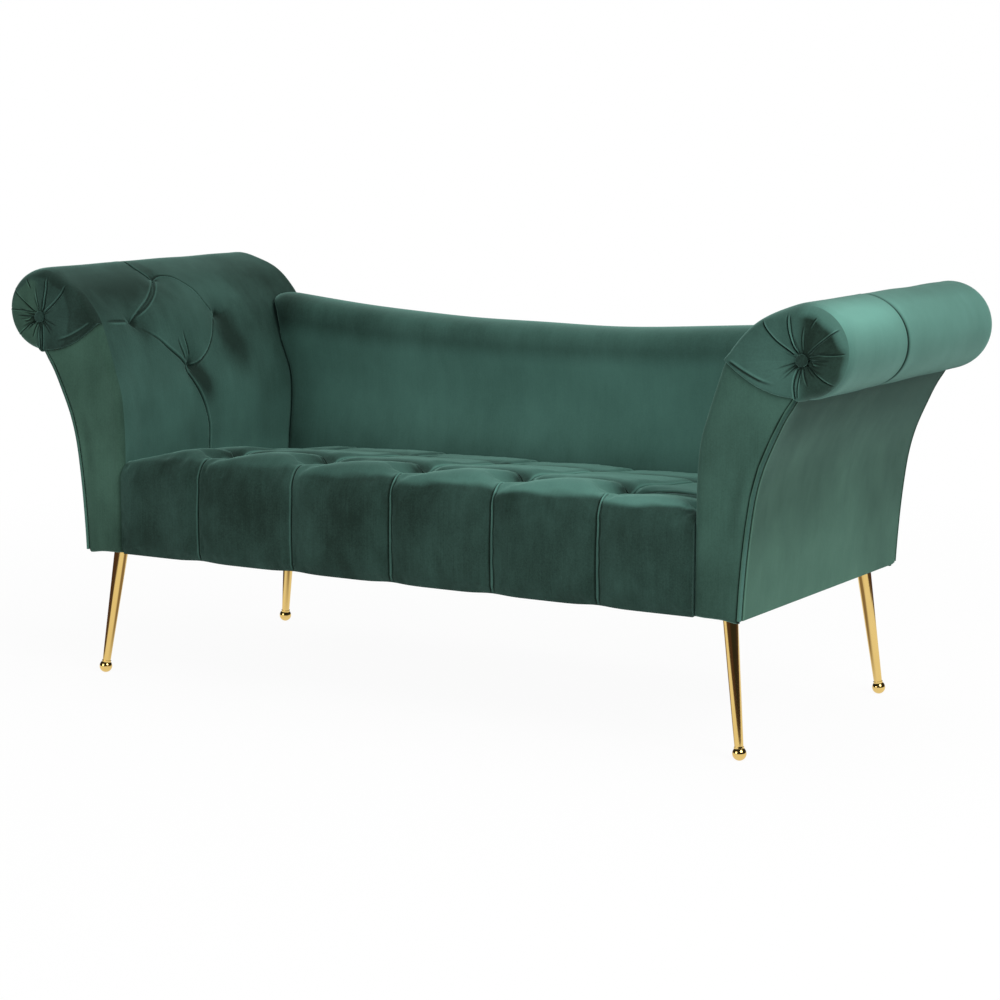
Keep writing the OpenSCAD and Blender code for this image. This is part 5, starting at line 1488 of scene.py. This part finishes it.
# a short rounded thread lying along X
def capsule(length, wide, tall, sides=6):
    points, faces = [], []
    rings = [(-0.42, 0.7), (-0.15, 1.0), (0.15, 1.0), (0.42, 0.7)]
    turns = [2 * math.pi * k / sides for k in range(sides)]
    for at, r in rings:
        points += [(at * length, r * wide * math.cos(t), r * tall * math.sin(t)) for t in turns]
    points += [(-0.5 * length, 0, 0), (0.5 * length, 0, 0)]
    for a, b, c, d in ringFaces(len(rings), sides):
        faces.append((a, d, c, b))
    end = len(rings) * sides
    faces += [(end, (k + 1) % sides, k) for k in range(sides)]
    faces += [(end + 1, end - sides + k, end - sides + (k + 1) % sides) for k in range(sides)]
    return points, [], reversedFaces(faces)


# a staple: a flat crown with two short legs, lying along X and pressed into the cloth
def bracket(length, wire, drop):
    points, faces = [], []
    half = 0.5 * length
    outline = [(-half, -drop), (-half, wire), (half, wire), (half, -drop),
               (half - wire, -drop), (half - wire, 0.0), (-half + wire, 0.0), (-half + wire, -drop)]
    for y in (-0.5 * wire, 0.5 * wire):
        points += [(x, y, z) for x, z in outline]
    for quad in ((0, 1, 6, 7), (1, 2, 5, 6), (2, 3, 4, 5)):
        faces += [quad, tuple(8 + q for q in reversed(quad))]
    faces += [(k, 8 + k, 8 + (k + 1) % 8, (k + 1) % 8) for k in range(8)]
    return points, [], faces


stitches = {
    "length": 0.0034, "wide": 0.00030, "tall": 0.00022, "spacing": 0.0044, "sink": 0.00010,
    "rows": (0.3088, 0.3136), "ends": (0.006, 0.012), "unevenness": 0.12, "seed": 7,
}
staples = {
    "length": 0.0110, "wire": 0.0007, "drop": 0.0004, "spacing": 0.046, "fromEdge": 0.006,
    "fromPlate": 0.012, "sink": 0.0001, "unevenness": 0.0, "seed": 3,
}


# two rows of stitches along the front and back edges of each outer side panel
def makeStitches(look=stitches):
    end = lengthAlong(outsideLine)[-1]
    s = np.linspace(look["ends"][0], end - look["ends"][1], 90)
    p, n = onLine(outsideLine, s), -leftOf(outsideLine, s)
    paths = []
    for side in (1, -1):
        for face in (1, -1):
            for at in look["rows"]:
                rise = sideEdgeLift(s, at, end)[0] - look["sink"]
                across, up = side * (p[:, 0] + n[:, 0] * rise), p[:, 1] + n[:, 1] * rise
                line = np.stack([across, np.full(len(s), face * at), up], -1)
                lean = np.stack([side * n[:, 0], np.zeros(len(s)), n[:, 1]], -1)
                paths.append((line, lean))
    thread = capsule(look["length"], look["wide"], look["tall"])
    piece = setAlong("seamStitches", paths, thread, plain["thread"], look)
    dress(piece, [])


def makeStaples(look=staples):
    d = inside["dust"]
    z = d["top"] - d["thick"] - d["hemRise"] - look["sink"]
    x, front, back = d["x"] - look["fromEdge"], d["front"] + look["fromEdge"], d["back"] - look["fromEdge"]
    px, py = (v - look["fromPlate"] for v in d["plate"])
    ends = [((-px, front), (px, front)), ((-px, back), (px, back)),
            ((-x, -py), (-x, py)), ((x, -py), (x, py))]
    paths = [(np.linspace((a[0], a[1], z), (b[0], b[1], z), 12), [(0, 0, -1)] * 12) for a, b in ends]
    staple = bracket(look["length"], look["wire"], look["drop"])
    piece = setAlong("dustStaples", paths, staple, plain["steel"], look)
    dress(piece, [])


makeStitches()
makeStaples()
print("stitches and staples set")

# stage and light

stageLook = {
    "floorTone": 0.86, "floorGlow": 0.95, "glowReach": (0.9, 2.6), "size": 30.0, "worldTone": 0.45,
    "mirrorDark": 0.92,
    # the floor as the polished legs mirror it, painted for glossy rays only: a painted pool of light, with
    # painted shade under the couch;
    # middle, and where each side starts and ends, across and along
    "pool": ((0.70, 1.45, 1.70), (0.0, 1.15, 1.60)), "poolEdge": (0.085, 0.052, 0.050),
    "under": ((0.0, 0.42, 0.68), (0.0, 0.16, 0.38)), "underTone": (0.30, 0.24, 0.20),
}


# 1 for what looks straight at the stage, or by reflection
def seenWhite(tree):
    path = plug(tree, "ShaderNodeLightPath")
    return maths(tree, "MAXIMUM", path.outputs["Is Camera Ray"],
                 maths(tree, "MAXIMUM", path.outputs["Is Glossy Ray"], path.outputs["Is Transmission Ray"]))


# 1 inside a soft-edged rectangle on the floor, 0 outside
def within(tree, place, limits):
    sides, share = plug(tree, "ShaderNodeSeparateXYZ", None, Vector=place), 1.0
    for axis, (middle, start, end) in zip("XY", limits):
        away = maths(tree, "ABSOLUTE", maths(tree, "SUBTRACT", sides.outputs[axis], middle), 0.0)
        lane = plug(tree, "ShaderNodeMapRange", {"interpolation_type": "SMOOTHSTEP"}, Value=away,
                    From_Min=start, From_Max=end, To_Min=1.0, To_Max=0.0).outputs[0]
        share = maths(tree, "MULTIPLY", lane, share)
    return share


def makeStage(look=stageLook):
    half = look["size"] / 2
    material = bpy.data.materials.new("paleFloor")
    corners = [(-half, -half, 0), (half, -half, 0), (half, half, 0), (-half, half, 0)]
    floor = newPiece("floor", corners, [(0, 1, 2, 3)], material)
    material.use_nodes = True
    tree = material.node_tree
    tree.nodes.clear()
    diffuse = plug(tree, "ShaderNodeBsdfDiffuse", None, Color=(look["floorTone"],) * 3 + (1,))
    seen = seenWhite(tree)
    place = plug(tree, "ShaderNodeTexCoord").outputs["Object"]
    mirrored = plug(tree, "ShaderNodeLightPath").outputs["Is Glossy Ray"]
    tint = (1, 1, 1, 1)
    for share, tone in ((within(tree, place, look["under"]), look["underTone"]),
                        (maths(tree, "SUBTRACT", 1.0, within(tree, place, look["pool"])), look["poolEdge"])):
        share = maths(tree, "MULTIPLY", share, mirrored)
        tint = mixed(tree, share, tint, tone + (1,))
    glow = plug(tree, "ShaderNodeEmission", None, Color=tint, Strength=1.0)
    far = plug(tree, "ShaderNodeVectorMath", {"operation": "LENGTH"}, i0=place).outputs["Value"]
    near, away = look["glowReach"]
    share = plug(tree, "ShaderNodeMapRange", None, Value=far, From_Min=near, From_Max=away,
                 To_Min=look["floorGlow"], To_Max=1.0).outputs[0]
    mix = plug(tree, "ShaderNodeMixShader", None, i0=maths(tree, "MULTIPLY", seen, share),
               i1=diffuse.outputs[0], i2=glow.outputs[0])
    plug(tree, "ShaderNodeOutputMaterial", None, Surface=mix.outputs[0])
    world = bpy.data.worlds.new("studio")
    bpy.context.scene.world = world
    world.use_nodes = True
    tree = world.node_tree
    tree.nodes.clear()
    # glossy rays see the world painted dark, a painted reflection of a dark room above the pale floor in the
    # polished legs
    path = plug(tree, "ShaderNodeLightPath")
    strength = scaled(tree, path.outputs["Is Camera Ray"], 1 - look["worldTone"], look["worldTone"])
    mirrored = maths(tree, "MULTIPLY", path.outputs["Is Glossy Ray"], look["mirrorDark"])
    strength = maths(tree, "MULTIPLY", strength, maths(tree, "SUBTRACT", 1.0, mirrored))
    plug(tree, "ShaderNodeOutputWorld", None,
         Surface=plug(tree, "ShaderNodeBackground", None, Color=(1, 1, 1, 1), Strength=strength).outputs[0])


makeStage()

lamps = [        # name, place, what it faces, size, power
    ("key", (3.6, -1.6, 3.0), (0.2, 0.0, 0.4), (2.2, 2.2), 125),
    ("overhead", (0.6, 0.8, 3.2), (0, 0, 0.3), (2.6, 2.0), 28),
    ("fill", (-1.8, -4.4, 1.6), (0, 0, 0.4), (2.5, 2.5), 62),
]


def makeLamps():
    for name, place, target, size, power in lamps:
        data = bpy.data.lights.new(name, "AREA")
        data.shape, data.size, data.size_y, data.energy = "RECTANGLE", size[0], size[1], power
        lamp = linked(name, data)
        lamp.location = place
        lamp.rotation_euler = (Vector(target) - Vector(place)).to_track_quat("-Z", "Y").to_euler()


makeLamps()
bpy.context.scene.view_settings.view_transform = "Standard"
print("stage and lamps set")
